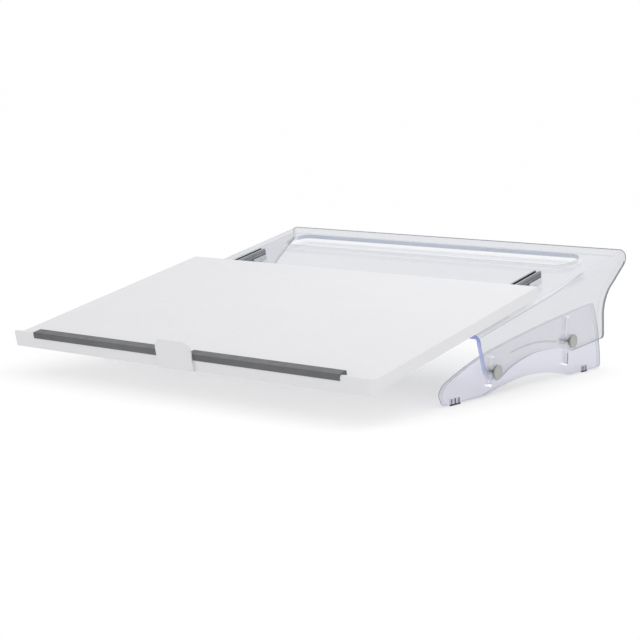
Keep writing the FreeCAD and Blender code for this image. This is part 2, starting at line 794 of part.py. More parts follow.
def make_foot(side, hand, end):
    """Rubber strip under the leg, held by prongs in the leg's edge."""
    middle, count = FEET[end]
    length = (count - 1) * SIZE["prong_pitch"] + SIZE["prong_width"] + 2 * SIZE["foot_end_margin"]
    inner = LEG_INNER if hand > 0 else -LEG_OUTER
    body = leg_frame_body(f"{side}_{end}_foot", inner)
    thickness, height, prong = SIZE["leg_thickness"], SIZE["foot_height"], SIZE["prong_width"]
    box(body, "Additive", "pad", (0, middle - length / 2, 0), (thickness, length, height))
    for offset in prong_places(count):
        box(body, "Additive", "prong", (0, middle + offset - prong / 2, height / 2),
            (thickness, prong, height / 2 + SIZE["prong_height"]))
    return body


# ---------------------------------------------------------------------------------------------------
# Knobs, studs, washers and clamp nuts
# ---------------------------------------------------------------------------------------------------

def stud_frame_body(label, hand, stud):
    """A body drawn along +X from the middle of the holder outwards, on a stud's axis."""
    back, up = stud
    turn = 0.0 if hand > 0 else 180.0
    return new_body(label, 0, DECK_BACK + back, up, UPWARD, turn)


def make_knob(label, hand, stud):
    """Thumb knob, a thin disc bored for its stud."""
    body = stud_frame_body(label, hand, stud)
    rod(body, "Additive", "disc", (KNOB_INNER, 0, 0), SIZE["knob_diameter"] / 2,
        SIZE["knob_thickness"], ACROSS)

    def rims(point, way):
        at_face = near(point.x, KNOB_INNER) or near(point.x, KNOB_OUTER)
        distance = math.hypot(point.y, point.z)
        return at_face and near(distance, SIZE["knob_diameter"] / 2)

    round_edges(body, "softened_rims", rims, SIZE["knob_edge"])
    rod(body, "Subtractive", "stud_seat", (KNOB_INNER - OVERCUT, 0, 0), STUD_HOLE_RADIUS,
        OVERCUT + SIZE["stud_seat_depth"], ACROSS)
    return body


def make_stud(label, hand, stud):
    """Plain threaded stud from the knob to the clamp nut."""
    body = stud_frame_body(label, hand, stud)
    length = KNOB_INNER + SIZE["stud_seat_depth"] - STUD_INNER
    rod(body, "Additive", "stud", (STUD_INNER, 0, 0), SIZE["stud_diameter"] / 2, length, ACROSS)
    return body


def make_clamp_nut(label, hand, stud, boss_radius):
    """Flanged nut behind the leg, with a boss that stands in the leg's slot."""
    body = stud_frame_body(label, hand, stud)
    flange_radius = SIZE["nut_flange_diameter"] / 2
    flat = SIZE["nut_flat_width"]
    rod(body, "Additive", "flange", (NUT_INNER, 0, 0), flange_radius, SIZE["nut_flange_thickness"],
        ACROSS)
    for way in (1, -1):
        edge = way * flat / 2 if way > 0 else -flat / 2 - flange_radius
        box(body, "Subtractive", "flat", (NUT_INNER - OVERCUT, -flange_radius - OVERCUT, edge),
            (SIZE["nut_flange_thickness"] + 2 * OVERCUT, 2 * flange_radius + 2 * OVERCUT,
             flange_radius))
    rod(body, "Additive", "boss", (NUT_OUTER - SIZE["nut_flange_thickness"] / 2, 0, 0), boss_radius,
        SIZE["nut_flange_thickness"] / 2 + LEG_OUTER - NUT_OUTER, ACROSS)
    rod(body, "Subtractive", "thread", (NUT_INNER - OVERCUT, 0, 0), STUD_HOLE_RADIUS,
        LEG_OUTER - NUT_INNER + 2 * OVERCUT, ACROSS)
    return body


def make_washers():
    """Clear washers between the side walls and the knobs."""
    body = new_body("knob_washers", 0, DECK_BACK, 0)
    for hand in SIDES.values():
        inner = HALF_WIDTH if hand > 0 else -HALF_WIDTH - SIZE["washer_thickness"]
        for back, up in (FRONT_STUD, REAR_STUD):
            rod(body, "Additive", "washer", (inner, back, up), SIZE["washer_diameter"] / 2,
                SIZE["washer_thickness"], ACROSS)
            rod(body, "Subtractive", "washer_bore", (inner - OVERCUT / 4, back, up),
                STUD_HOLE_RADIUS, SIZE["washer_thickness"] + OVERCUT / 2, ACROSS)
    return body


# ---------------------------------------------------------------------------------------------------
# Sliding tray
# ---------------------------------------------------------------------------------------------------

def tray_stops():
    """Section of the tray along the slope: plate, raised front edge and front flange."""
    gauge = SIZE["tray_thickness"]
    crest_top = TRAY_TOP + SIZE["ramp_rise"]
    return [
        (TRAY_FRONT, TRAY_TOP - SIZE["tray_skirt_drop"], None),
        (TRAY_FRONT + gauge, TRAY_TOP - SIZE["tray_skirt_drop"], None),
        (TRAY_FRONT + gauge, TRAY_UNDER, None),
        (TRAY_REAR, TRAY_UNDER, None),
        (TRAY_REAR, TRAY_TOP, None),
        (TRAY_FRONT + SIZE["ramp_length"], TRAY_TOP, None),
        (TRAY_FRONT + SIZE["ramp_crest"], crest_top, SIZE["ramp_nose_radius"]),
        (TRAY_FRONT, crest_top - SIZE["ramp_nose_drop"], None),
    ]


def make_tray():
    """White writing tray with side skirts, a raised front edge and a pull tab."""
    body = deck_body("document_tray")
    gauge, half = SIZE["tray_thickness"], TRAY_HALF_WIDTH
    drop = SIZE["tray_skirt_drop"]
    extrude(body, "Pad", outline(body, "YZ_Plane", tray_stops()), 2 * half)
    for low in (-half, half - gauge):
        box(body, "Additive", "skirt", (low, TRAY_FRONT + gauge / 2, TRAY_TOP - drop),
            (gauge, SIZE["tray_depth"] - gauge / 2, drop - gauge / 2))
    reach, base = SIZE["tab_reach"], TRAY_TOP - drop
    base_height = drop - SIZE["strip_drop"] - SIZE["face_gap"]
    box(body, "Additive", "tab_base", (centred(SIZE["tab_width"]), TRAY_FRONT - reach, base),
        (SIZE["tab_width"], reach + gauge / 2, base_height))
    box(body, "Additive", "tab", (centred(SIZE["tab_width"]), TRAY_FRONT - reach, base),
        (SIZE["tab_width"], SIZE["tab_thickness"], TAB_TOP - base))

    def tab_corner(point, way):
        at_side = near(abs(point.x), SIZE["tab_width"] / 2)
        return near(abs(way.y), 1) and at_side and near(point.z, TAB_TOP)

    def top_side(point, way):
        return near(abs(point.x), half) and near(way.x, 0) and point.z > TRAY_TOP - gauge / 2

    def front_corner(point, way):
        at_front = near(point.y, TRAY_FRONT) and near(abs(point.x), half)
        return near(abs(way.z), 1) and at_front

    round_edges(body, "tab_corners", tab_corner, SIZE["tab_corner_radius"])
    round_edges(body, "front_corners", front_corner, SIZE["tray_corner_radius"])
    round_edges(body, "side_edges", top_side, SIZE["tray_edge_radius"])
    return body


def make_strip(side, hand):
    """Dark strip that laps over the raised front edge and stops the pages."""
    body = deck_body(f"{side}_lip_strip")
    bottom = TRAY_TOP - SIZE["strip_drop"]
    top = TRAY_TOP + SIZE["strip_rise"]
    front = TRAY_FRONT - SIZE["strip_lap"]
    crest_top = TRAY_TOP + SIZE["ramp_rise"]
    back = TRAY_FRONT + SIZE["strip_depth"]
    remaining = SIZE["ramp_length"] - SIZE["strip_depth"]
    slope = SIZE["ramp_rise"] / (SIZE["ramp_length"] - SIZE["ramp_crest"])
    stops = [
        (front, bottom, None),
        (TRAY_FRONT, bottom, None),
        (TRAY_FRONT, crest_top - SIZE["ramp_nose_drop"], -SIZE["ramp_nose_radius"]),
        (TRAY_FRONT + SIZE["ramp_crest"], crest_top, None),
        (back, TRAY_TOP + remaining * slope, None),
        (back, top, None),
        (front, top, None),
    ]
    sketch = outline(body, "YZ_Plane", stops)
    inner_end = SIZE["tab_width"] / 2 - SIZE["strip_behind_tab"]
    length = TRAY_HALF_WIDTH - SIZE["strip_end_inset"] - inner_end
    extrude(body, "Pad", sketch, length)
    drive(body, "Placement.Base.x", hand * (inner_end + length / 2))
    for name, along in (("front_edge", front), ("back_edge", back)):
        round_edges(body, name, crosswise_at(along, top), SIZE["strip_edge_radius"])
    return body


def runner_screw_places():
    """Places along the slope of the screws on one side of a runner."""
    first = RUNNER_FRONT + SIZE["runner_screw_inset"]
    pitch = (SIZE["runner_length"] - 2 * SIZE["runner_screw_inset"]) / (RUNNER_SCREW_COUNT - 1)
    return [first + pitch * index for index in range(RUNNER_SCREW_COUNT)]


def runner_screw_offset():
    """Distance of a runner's screws from its middle, half-way out on the free flange."""
    return (SIZE["runner_flange_width"] + SIZE["runner_neck_width"]) / 4


def make_runner(side, hand):
    """Runner with a foot held under the channel's lips and a flange under the tray."""
    body = deck_body(f"{side}_runner")
    centre = hand * RAIL_CENTRE
    foot_width, foot_height = SIZE["runner_foot_width"], SIZE["runner_foot_height"]
    neck, flange = SIZE["runner_neck_width"], SIZE["runner_flange_width"]
    length, gauge = SIZE["runner_length"], SIZE["runner_flange_thickness"]
    foot_bottom = SIZE["rail_floor"] + SIZE["slide_gap"]
    box(body, "Additive", "foot", (centre - foot_width / 2, RUNNER_FRONT, foot_bottom),
        (foot_width, length, foot_height))
    box(body, "Additive", "neck", (centre - neck / 2, RUNNER_FRONT, foot_bottom),
        (neck, length, TRAY_UNDER - foot_bottom))
    box(body, "Additive", "flange", (centre - flange / 2, RUNNER_FRONT, TRAY_UNDER - gauge),
        (flange, length, gauge))
    for way in (1, -1):
        for along in runner_screw_places():
            rod(body, "Subtractive", "screw_hole",
                (centre + way * runner_screw_offset(), along, TRAY_UNDER - gauge - OVERCUT / 2),
                SIZE["runner_screw_diameter"] / 2 + SIZE["turning_clearance"], gauge + OVERCUT)
    return body


def make_runner_screws(tray):
    """Screws up through the runner flanges into blind holes in the tray."""
    body = deck_body("runner_screws")
    radius = SIZE["runner_screw_diameter"] / 2
    head_height = SIZE["runner_screw_head_height"]
    head_top = TRAY_UNDER - SIZE["runner_flange_thickness"]
    for hand in SIDES.values():
        for way in (1, -1):
            for along in runner_screw_places():
                centre = hand * RAIL_CENTRE + way * runner_screw_offset()
                rod(body, "Additive", "head", (centre, along, head_top - head_height),
                    SIZE["runner_screw_head_diameter"] / 2, head_height)
                rod(body, "Additive", "shank", (centre, along, head_top - head_height / 2), radius,
                    SIZE["runner_screw_length"] + head_height / 2)
                rod(tray, "Subtractive", "screw_hole", (centre, along, TRAY_UNDER - OVERCUT / 2),
                    radius + SIZE["turning_clearance"],
                    OVERCUT / 2 + SIZE["runner_screw_length"] - SIZE["runner_flange_thickness"]
                    + SIZE["turning_clearance"])
    return body


# ---------------------------------------------------------------------------------------------------
# The whole holder
# ---------------------------------------------------------------------------------------------------

def make_all():
    """Every piece of the holder, each with its own label."""
    tray = make_tray()
    pieces = [make_clear_body(), make_rail_stops(), *make_rail_screws(), make_washers(), tray,
              make_runner_screws(tray)]
    front_boss = SIZE["slot_width"] / 2 - SIZE["turning_clearance"]
    rear_boss = SIZE["rear_boss_diameter"] / 2
    studs = {"front": (FRONT_STUD, front_boss), "rear": (REAR_STUD, rear_boss)}
    for side, hand in SIDES.items():
        pieces += [make_rail(side, hand), make_leg(side, hand)]
        pieces += [make_runner(side, hand), make_strip(side, hand)]
        for end, (stud, boss_radius) in studs.items():
            name = f"{side}_{end}"
            pieces.append(make_foot(side, hand, end))
            pieces.append(make_knob(f"{name}_knob", hand, stud))
            pieces.append(make_stud(f"{name}_stud", hand, stud))
            pieces.append(make_clamp_nut(f"{name}_clamp_nut", hand, stud, boss_radius))
    return pieces


def check_document(pieces):
    """Stop if any object failed, or any piece has no valid solid."""
    for item in doc.Objects:
        if "Invalid" in item.State or "Error" in item.State:
            raise RuntimeError(f"{item.Label} failed to recompute: {item.State}")
    for piece in pieces:
        if piece.Shape.isNull() or not piece.Shape.isValid() or not piece.Shape.Solids:
            raise RuntimeError(f"{piece.Label} has no valid solid")


def export(pieces):
    os.makedirs("parts", exist_ok=True)
    for piece in pieces:
        piece.Shape.exportStep(f"parts/{piece.Label}.step")
        print(f"{piece.Label}: {len(piece.Shape.Solids)} solid(s), {piece.Shape.Volume:.1f} mm3")


holder = make_all()
doc.recompute()
check_document(holder)
export(holder)
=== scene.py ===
"""Looks of an in-line document holder with a sliding writing tray.

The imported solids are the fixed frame. Each class below dresses one sub-assembly. It stands a copy with
softened edges, or a finer turned piece, in each solid's place and gives it its finish. Sizes are in
metres, angles in radians and strengths and shares from 0 to 1, unless a note says otherwise.
"""

import json
import logging
import math
from dataclasses import dataclass
from enum import Enum
from functools import reduce
from itertools import product

import bmesh
import bpy
from mathutils import Matrix, Vector


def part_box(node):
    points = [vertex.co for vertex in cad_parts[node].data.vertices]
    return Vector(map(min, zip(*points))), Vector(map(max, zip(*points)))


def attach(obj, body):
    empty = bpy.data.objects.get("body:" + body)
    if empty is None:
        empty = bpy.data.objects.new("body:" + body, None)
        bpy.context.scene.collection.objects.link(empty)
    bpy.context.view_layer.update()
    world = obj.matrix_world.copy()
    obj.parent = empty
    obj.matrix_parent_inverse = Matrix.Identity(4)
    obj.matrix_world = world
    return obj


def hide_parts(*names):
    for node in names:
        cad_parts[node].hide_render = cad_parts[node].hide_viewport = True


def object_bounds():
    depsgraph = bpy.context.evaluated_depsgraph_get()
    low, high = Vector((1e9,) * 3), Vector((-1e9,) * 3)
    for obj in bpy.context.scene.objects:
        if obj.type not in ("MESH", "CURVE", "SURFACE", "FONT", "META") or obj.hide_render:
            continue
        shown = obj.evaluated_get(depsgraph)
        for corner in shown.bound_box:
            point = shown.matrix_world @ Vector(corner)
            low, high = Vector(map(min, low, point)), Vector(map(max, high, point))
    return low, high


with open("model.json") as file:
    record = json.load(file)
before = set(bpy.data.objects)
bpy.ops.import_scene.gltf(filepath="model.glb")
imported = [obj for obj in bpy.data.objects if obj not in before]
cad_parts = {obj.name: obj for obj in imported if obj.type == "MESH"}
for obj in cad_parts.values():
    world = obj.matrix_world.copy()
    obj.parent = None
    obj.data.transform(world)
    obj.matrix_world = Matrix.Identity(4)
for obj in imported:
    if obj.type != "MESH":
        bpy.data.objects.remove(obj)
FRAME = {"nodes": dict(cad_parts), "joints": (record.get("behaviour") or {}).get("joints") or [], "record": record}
CAD_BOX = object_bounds()
MM = 0.001
SLACK = 0.1 * MM
FULL_TURN = 2 * math.pi
ACROSS = Vector((1, 0, 0))
AHEAD = Vector((0, 1, 0))
UP = Vector((0, 0, 1))

log = logging.getLogger("document_holder")

Triple = Color = tuple[float, float, float]
Material = bpy.types.Material
Socket = bpy.types.NodeSocket
Pair = tuple[float, float]
Profile = list[Pair]


class Side(Enum):
    """The two sides of the holder, as its user sees them."""

    LEFT = -1
    RIGHT = 1

    @property
    def word(self) -> str:
        """The side's name, as the nodes have it."""
        return self.name.lower()


class End(Enum):
    """The two ends of a leg."""

    FRONT = "front"
    REAR = "rear"


class Head(Enum):
    """Shapes of a screw's head."""

    COUNTERSUNK = "countersunk"
    PAN = "pan"


# ---- Readings from the frame ----

def axis_of(name: str) -> Vector:
    """Read a joint's axis."""
    return next(Vector(joint["axis"]) for joint in FRAME["joints"] if joint["name"] == name)


@dataclass(frozen=True)
class DeckFrame:
    """The sloping deck, as the axes and limits that sizes and finishes are read against."""

    slope: Vector  # up the slope
    normal: Vector  # out of the deck's top face
    front: float  # place of the front edge along the slope
    rear: float  # place of the rear edge along the slope
    top: float  # place of the top face along the normal
    wall_inner: float  # distance of the side walls' inner faces from the middle
    wall_outer: float  # distance of their outer faces
    bend: float = 8.5 * MM  # outer radius of the bend between deck and wall

    @classmethod
    def read(cls) -> "DeckFrame":
        """Read the deck from the tray's slide and from the nodes that lie against it."""
        slope = axis_of("tray_slide")
        slope = slope if slope.y > 0 else -slope
        normal = ACROSS.cross(slope)
        rail = [vertex.co for vertex in FRAME["nodes"]["right_rail"].data.vertices]
        top = min(point.dot(normal) for point in rail)
        body = [vertex.co for vertex in FRAME["nodes"]["clear_body"].data.vertices]
        places = [point.dot(slope) for point in body if abs(point.dot(normal) - top) < 0.5 * MM]
        return cls(slope, normal, min(places), max(places), top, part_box("right_leg")[1].x,
                   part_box("clear_body")[1].x)


DECK = DeckFrame.read()


@dataclass(frozen=True)
class Carrier:
    """What a new piece rides on and stands for, and the name of the first node's finish."""

    body: str
    slot: str
    nodes: tuple[str, ...]

    @classmethod
    def of(cls, *nodes: str) -> "Carrier":
        """Read the body and the slot from the nodes that a piece stands for."""
        bodies = FRAME["record"]["behaviour"]["bodies"]
        body = next(name for name, members in bodies.items() if nodes[0] in members)
        return cls(body, FRAME["nodes"][nodes[0]].data.materials[0].name, nodes)


def solids_of(node: str) -> list[list[Vector]]:
    """Split a node into its separate solids.

    Args:
        node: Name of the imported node.

    Returns:
        The points of each solid.
    """
    mesh = bmesh.new()
    mesh.from_mesh(FRAME["nodes"][node].data)
    bmesh.ops.remove_doubles(mesh, verts=mesh.verts, dist=0.001 * MM)
    mesh.verts.index_update()
    waiting = {vertex.index: vertex for vertex in mesh.verts}
    solids = []
    while waiting:
        reached = [waiting.pop(next(iter(waiting)))]
        points = []
        while reached:
            vertex = reached.pop()
            points.append(vertex.co.copy())
            for edge in vertex.link_edges:
                other = edge.other_vert(vertex)
                if other.index in waiting:
                    reached.append(waiting.pop(other.index))
        solids.append(points)
    mesh.free()
    return solids


# ---- Finishes ----

class Shader:
    """A node graph around one Principled shader, built a step at a time."""

    def __init__(self, name: str) -> None:
        """Start a material of this name."""
        self.material = bpy.data.materials.new(name)
        self.material.use_nodes = True
        self.tree = self.material.node_tree
        self.surface = self.tree.nodes["Principled BSDF"]
        self.coordinates = self.tree.nodes.new("ShaderNodeTexCoord")

    def set(self, **values: object) -> None:
        """Set constants on the shader's own sockets, named with underscores for spaces."""
        for name, value in values.items():
            self.surface.inputs[name.replace("_", " ")].default_value = value

    def link(self, source: Socket, target: str) -> None:
        """Feed one socket of the Principled shader."""
        self.tree.links.new(source, self.surface.inputs[target])

    def node(self, kind: str, inputs: dict[str | int, object], **settings: object) -> bpy.types.Node:
        """Add a node.

        Args:
            kind: Node type without its ShaderNode prefix.
            inputs: Input names or numbers, each with a value or with the socket that feeds it.
            settings: The node's own properties.

        Returns:
            The new node.
        """
        node = self.tree.nodes.new(f"ShaderNode{kind}")
        for name, value in settings.items():
            setattr(node, name, value)
        for name, value in inputs.items():
            if isinstance(value, Socket):
                self.tree.links.new(value, node.inputs[name])
            else:
                node.inputs[name].default_value = value
        return node

    def math(self, operation: str, first: object, second: object = 0.0) -> Socket:
        """Add a Math node and return its result."""
        return self.node("Math", {0: first, 1: second}, operation=operation).outputs[0]

    def times(self, *values: object) -> Socket:
        """Multiply values with each other."""
        return reduce(lambda first, second: self.math("MULTIPLY", first, second), values)

    def most(self, *values: object) -> Socket:
        """Take the greatest of some values."""
        return reduce(lambda first, second: self.math("MAXIMUM", first, second), values)

    def rest(self, value: Socket) -> Socket:
        """Take what a value leaves of 1."""
        return self.math("SUBTRACT", 1.0, value)

    def above(self, value: Socket, limit: float) -> Socket:
        """Mark with 1 where a value is above a limit."""
        return self.math("GREATER_THAN", value, limit)

    def below(self, value: Socket, limit: float) -> Socket:
        """Mark with 1 where a value is below a limit."""
        return self.math("LESS_THAN", value, limit)

    def apart(self, first: Socket, second: object) -> Socket:
        """Measure how far two values lie apart."""
        return self.math("ABSOLUTE", self.math("SUBTRACT", first, second))

    def ramp(self, value: Socket, low: float, high: float, start: float = 0.0,
             end: float = 1.0) -> Socket:
        """Map a range of values to another, with its ends clamped.

        Args:
            value: Socket to read.
            low: Result at the start of the range.
            high: Result at the end of the range.
            start: Start of the range that is read.
            end: End of the range that is read.

        Returns:
            The mapped value.
        """
        inputs = {"Value": value, "From Min": start, "From Max": end, "To Min": low, "To Max": high}
        return self.node("MapRange", inputs, clamp=True).outputs["Result"]

    def rise(self, value: Socket, start: float, end: float) -> Socket:
        """Rise from 0 to 1 while a value goes from start to end."""
        return self.ramp(value, 0.0, 1.0, start, end)

    def fall(self, value: Socket, start: float, end: float) -> Socket:
        """Fall from 1 to 0 while a value goes from start to end."""
        return self.ramp(value, 1.0, 0.0, start, end)

    def mix(self, factor: Socket, first: Color | Socket, second: Color | Socket) -> Socket:
        """Mix two colours by a factor."""
        inputs = {"Fac": factor}
        for name, color in (("Color1", first), ("Color2", second)):
            inputs[name] = color if isinstance(color, Socket) else (*color, 1.0)
        return self.node("MixRGB", inputs).outputs["Color"]

    def noise(self, cells: float, detail: float = 3.0, lengths: Triple = (1, 1, 1)) -> Socket:
        """Add fractal noise, laid along the deck.

        Args:
            cells: Noise cells to the metre.
            detail: Octaves.
            lengths: How many times longer the cells are across, up the slope and out of the deck.

        Returns:
            The noise from 0 to 1.
        """
        laid = self.node("Mapping", {"Vector": self.coordinates.outputs["Object"],
                                     "Rotation": (math.asin(DECK.slope.z), 0, 0),
                                     "Scale": lengths}, vector_type="TEXTURE")
        inputs = {"Vector": laid.outputs["Vector"], "Scale": cells, "Detail": detail, "Roughness": 0.55}
        return self.node("TexNoise", inputs).outputs["Fac"]

    def bump(self, height: Socket, distance: float, strength: float) -> None:
        """Raise the surface by a pattern of heights.

        Args:
            height: Pattern from 0 to 1.
            distance: Height of the pattern.
            strength: Share of the pattern that shows.
        """
        bump = self.node("Bump", {"Height": height, "Distance": distance, "Strength": strength})
        self.link(bump.outputs["Normal"], "Normal")

    def dot(self, coordinates: str, direction: Vector) -> Socket:
        """Measure one kind of coordinates along a direction."""
        inputs = {0: self.coordinates.outputs[coordinates], 1: tuple(direction)}
        return self.node("VectorMath", inputs, operation="DOT_PRODUCT").outputs["Value"]

    def facing(self, direction: Vector) -> Socket:
        """Measure how squarely the surface lies across a direction, from 0 to 1."""
        return self.math("ABSOLUTE", self.dot("Normal", direction))

    def along(self, direction: Vector, origin: float = 0.0) -> Socket:
        """Measure how far the point lies along a direction from an origin."""
        return self.math("SUBTRACT", self.dot("Object", direction), origin)

    def aside(self, direction: Vector, origin: float = 0.0) -> Socket:
        """Measure how far the point lies from an origin, to either side along a direction."""
        return self.math("ABSOLUTE", self.along(direction, origin))

    def sideways(self) -> Socket:
        """Measure how far the point lies from the holder's middle."""
        return self.aside(ACROSS)

    def place(self) -> Socket:
        """Measure how far the point lies up the deck from its front edge."""
        return self.along(DECK.slope, DECK.front)

    def height(self) -> Socket:
        """Measure how far the point lies out of the deck's top face."""
        return self.along(DECK.normal, DECK.top)


def scaled(color: Color, factor: float) -> Color:
    """Make a colour darker or lighter."""
    return tuple(channel * factor for channel in color)


@dataclass(frozen=True)
class Streak:
    """A painted line that stands for the channel seen refracted through the bend, with a soft painted shade under
    it; angles run from 0 on the deck.
    """

    # Colour of the painted refraction line and of its painted shade.
    color: Color = (0.24, 0.26, 0.31)
    angles: Pair = (math.radians(55), math.radians(26))  # where it starts and where it drifts to
    drift: Pair = (160 * MM, 222 * MM)  # places between which it drifts
    width: Pair = (math.radians(2), math.radians(6))  # angles beside it between which it fades
    onset: Pair = (0.0, 10 * MM)
    swell: Pair = (190 * MM, 215 * MM)
    end: Pair = (226 * MM, 229 * MM)
    share: float = 0.5  # strength that it gains at its onset, and again where it swells
    shade_share: float = 0.16  # strength of the soft painted shade under it
    shade_width: float = math.radians(4)
    shade_places: Pair = (176 * MM, 200 * MM)
    shade_end: Pair = (math.radians(75), math.radians(88))

    def draw(self, shader: Shader, angle: Socket, color: Socket) -> Socket:
        """Paint the refracted line and its shade over a colour.

        Args:
            shader: Graph that the nodes go into.
            angle: Angle round the bend.
            color: Colour of the sheet.

        Returns:
            The colour with the line.
        """
        # The line stands in for the channel refracted in the bend; the shade under it is painted shade.
        place = shader.place()
        beside = shader.math("SUBTRACT", angle, shader.ramp(place, *self.angles, *self.drift))
        thin = shader.fall(shader.math("ABSOLUTE", beside), *self.width)
        growing = shader.math("ADD", shader.ramp(place, 0.0, self.share, *self.onset),
                              shader.ramp(place, 0.0, self.share, *self.swell))
        shade = shader.times(shader.ramp(beside, 0.0, self.shade_share, 0.0, self.shade_width),
                             shader.rise(place, *self.shade_places),
                             shader.fall(angle, *self.shade_end))
        ending = shader.fall(place, *self.end)
        drawn = shader.most(shader.times(thin, shader.times(growing, ending)),
                            shader.times(shade, ending))
        return shader.mix(drawn, color, self.color)


@dataclass(frozen=True)
class ClearSheet:
    """Clear acrylic sheet under a gloss coat, slightly milky, with cut edges that gather colour and dark lines
    painted along them in place of the shade that the edges refract.

    Places run up the deck from its front edge, heights go out of its top face and depths go in from
    the sheet's outer face. A pair is where a change begins and where it ends.
    """

    name: str
    sheet: Color = (0.775, 0.785, 0.815)
    deck_sheet: Color = (0.725, 0.737, 0.778)
    clearness: float = 0.80  # share of the light that goes through each face of a wall
    deck_clearness: float = 0.965
    haze: Color = (0.70, 0.71, 0.74)  # tint in faint clouds
    haze_share: float = 0.3
    formed: Color = (0.95, 0.955, 0.965)  # tint of the thinner, drawn sheet of the pen tray
    front: Color = (0.40, 0.48, 1.0)  # cut edges that face the user
    pale: Color = (0.68, 0.78, 1.0)  # patches on them toward their lower end
    deep: Color = (0.20, 0.26, 0.78)  # their part in the bend
    tray: Color = (0.40, 0.48, 0.66)  # cut edge behind the pen tray
    line: Color = (0.012, 0.016, 0.06)  # painted dark line along the outer corner of a cut edge, in place of refracted shade
    front_share: float = 0.85  # how solid the front edges are
    tray_share: float = 0.6
    line_share: float = 0.95
    faint_share: float = 0.15  # strength of the line on the pen tray's front side
    hem_share: float = 0.3  # strength of the painted line under the front part of the walls
    deck_bottom: float = -5.2 * MM
    hem_top: float = -14 * MM  # height under which a wall's edge is its lower one
    pens_place: float = 270 * MM  # from here on the pen tray's rear side is looked for
    rear_strip: float = 12 * MM  # width of the strip along the deck's rear edge
    front_places: Pair = (20 * MM, 38 * MM)  # the front edges' colour ends here
    crisp_places: Pair = (172 * MM, 184 * MM)  # the line under the walls grows crisp here
    outer_depths: Pair = (0.9 * MM, 1.4 * MM)  # line along an edge's outer corner
    inner_depths: Pair = (4.2 * MM, 4.6 * MM)  # line along a front edge's inner corner
    hem_depths: Pair = (2.2 * MM, 3.4 * MM)  # line under the walls
    patch_heights: Pair = (-48 * MM, -24 * MM)
    deep_heights: Pair = (-16 * MM, -6 * MM)
    end_facing: Pair = (0.25, 0.45)  # facing along the deck at which an edge begins to count
    side_facing: Pair = (0.85, 0.95)  # facing across the holder at which an edge turns into a side
    bend_angles: Pair = (math.radians(10), math.radians(75))  # the deck's tint turns into the wall's
    # Painted refraction of the channel in the bend, with painted shade under it.
    streak: Streak = Streak()

    def skin(self, shader: Shader) -> tuple[Socket, Socket]:
        """Measure where a point lies in the bent sheet.

        Args:
            shader: Graph that the nodes go into.

        Returns:
            How deep the point lies under the sheet's outer face, and its angle round the bend, from
            0 on the deck to a quarter turn on the wall.
        """
        past_deck = shader.math("SUBTRACT", shader.sideways(), DECK.wall_outer - DECK.bend)
        across = shader.most(past_deck, 0.0)
        up = shader.most(shader.along(DECK.normal, DECK.top - DECK.bend), 0.0)
        squares = (shader.math("POWER", value, 2.0) for value in (across, up))
        radius = shader.math("SQRT", shader.math("ADD", *squares))
        return shader.math("SUBTRACT", DECK.bend, radius), shader.math("ARCTAN2", across, up)

    def edge_color(self, shader: Shader, marks: Socket, in_tray: Socket) -> Socket:
        """Colour the cut edges, but for their lines.

        Args:
            shader: Graph that the nodes go into.
            marks: Pattern of the saw marks.
            in_tray: Where the edge is the one behind the pen tray.

        Returns:
            The colour.
        """
        height = shader.height()
        patches = shader.times(shader.fall(height, *self.patch_heights),
                               shader.ramp(shader.noise(cells=160.0, detail=2.0), 0.3, 1.0, 0.35, 0.6))
        bright = tuple(0.3 + 0.65 * channel for channel in self.front)
        glow = shader.mix(marks, self.front, bright)
        glow = shader.mix(patches, glow, self.pale)
        glow = shader.mix(shader.ramp(height, 0.0, 0.8, *self.deep_heights), glow, self.deep)
        return shader.mix(in_tray, glow, self.tray)

    def solid_parts(self, shader: Shader, marks: Socket) -> tuple[Socket, Socket]:
        """Find the cut edges from where the surface lies and faces, and paint dark lines along them in place of
        refracted shade.

        Args:
            shader: Graph that the nodes go into.
            marks: Pattern of the saw marks.

        Returns:
            How solid the surface is from 0 to 1, and its colour there.
        """
        depth, _ = self.skin(shader)
        place, height = shader.place(), shader.height()
        in_wall = shader.above(shader.sideways(), DECK.wall_inner - SLACK)
        in_sheet = shader.most(in_wall, shader.above(height, self.deck_bottom))
        lengthways = shader.times(in_sheet, shader.rise(shader.facing(DECK.slope), *self.end_facing))
        in_hem = shader.times(in_wall, shader.below(height, self.hem_top))
        underside = shader.times(in_hem, shader.fall(shader.facing(ACROSS), *self.side_facing))
        front = shader.times(lengthways, shader.fall(place, *self.front_places))
        at_rear = shader.above(place, DECK.rear - DECK.front - self.rear_strip)
        at_end = shader.most(in_wall, front, at_rear)
        # Painted dark lines along the edges' corners and under the walls stand in for the shade that the edges
        # refract.
        outer_line = shader.times(shader.most(lengthways, underside),
                                  shader.ramp(at_end, self.faint_share, 1.0),
                                  shader.fall(depth, *self.outer_depths))
        inner_line = shader.times(front, shader.rise(depth, *self.inner_depths))
        crisp = shader.ramp(place, self.hem_share, 1.0, *self.crisp_places)
        under_line = shader.times(underside, crisp, shader.fall(depth, *self.hem_depths))
        in_tray = shader.times(shader.above(place, self.pens_place), shader.rest(at_rear), lengthways,
                               shader.rest(in_wall))
        outline = shader.times(shader.most(outer_line, inner_line, under_line), shader.rest(in_tray))
        solid = shader.most(shader.times(front, self.front_share),
                            shader.times(in_tray, self.tray_share),
                            shader.times(outline, self.line_share))
        drawn = shader.times(outline, shader.ramp(front, 1.0, 0.25))
        return solid, shader.mix(drawn, self.edge_color(shader, marks, in_tray), self.line)

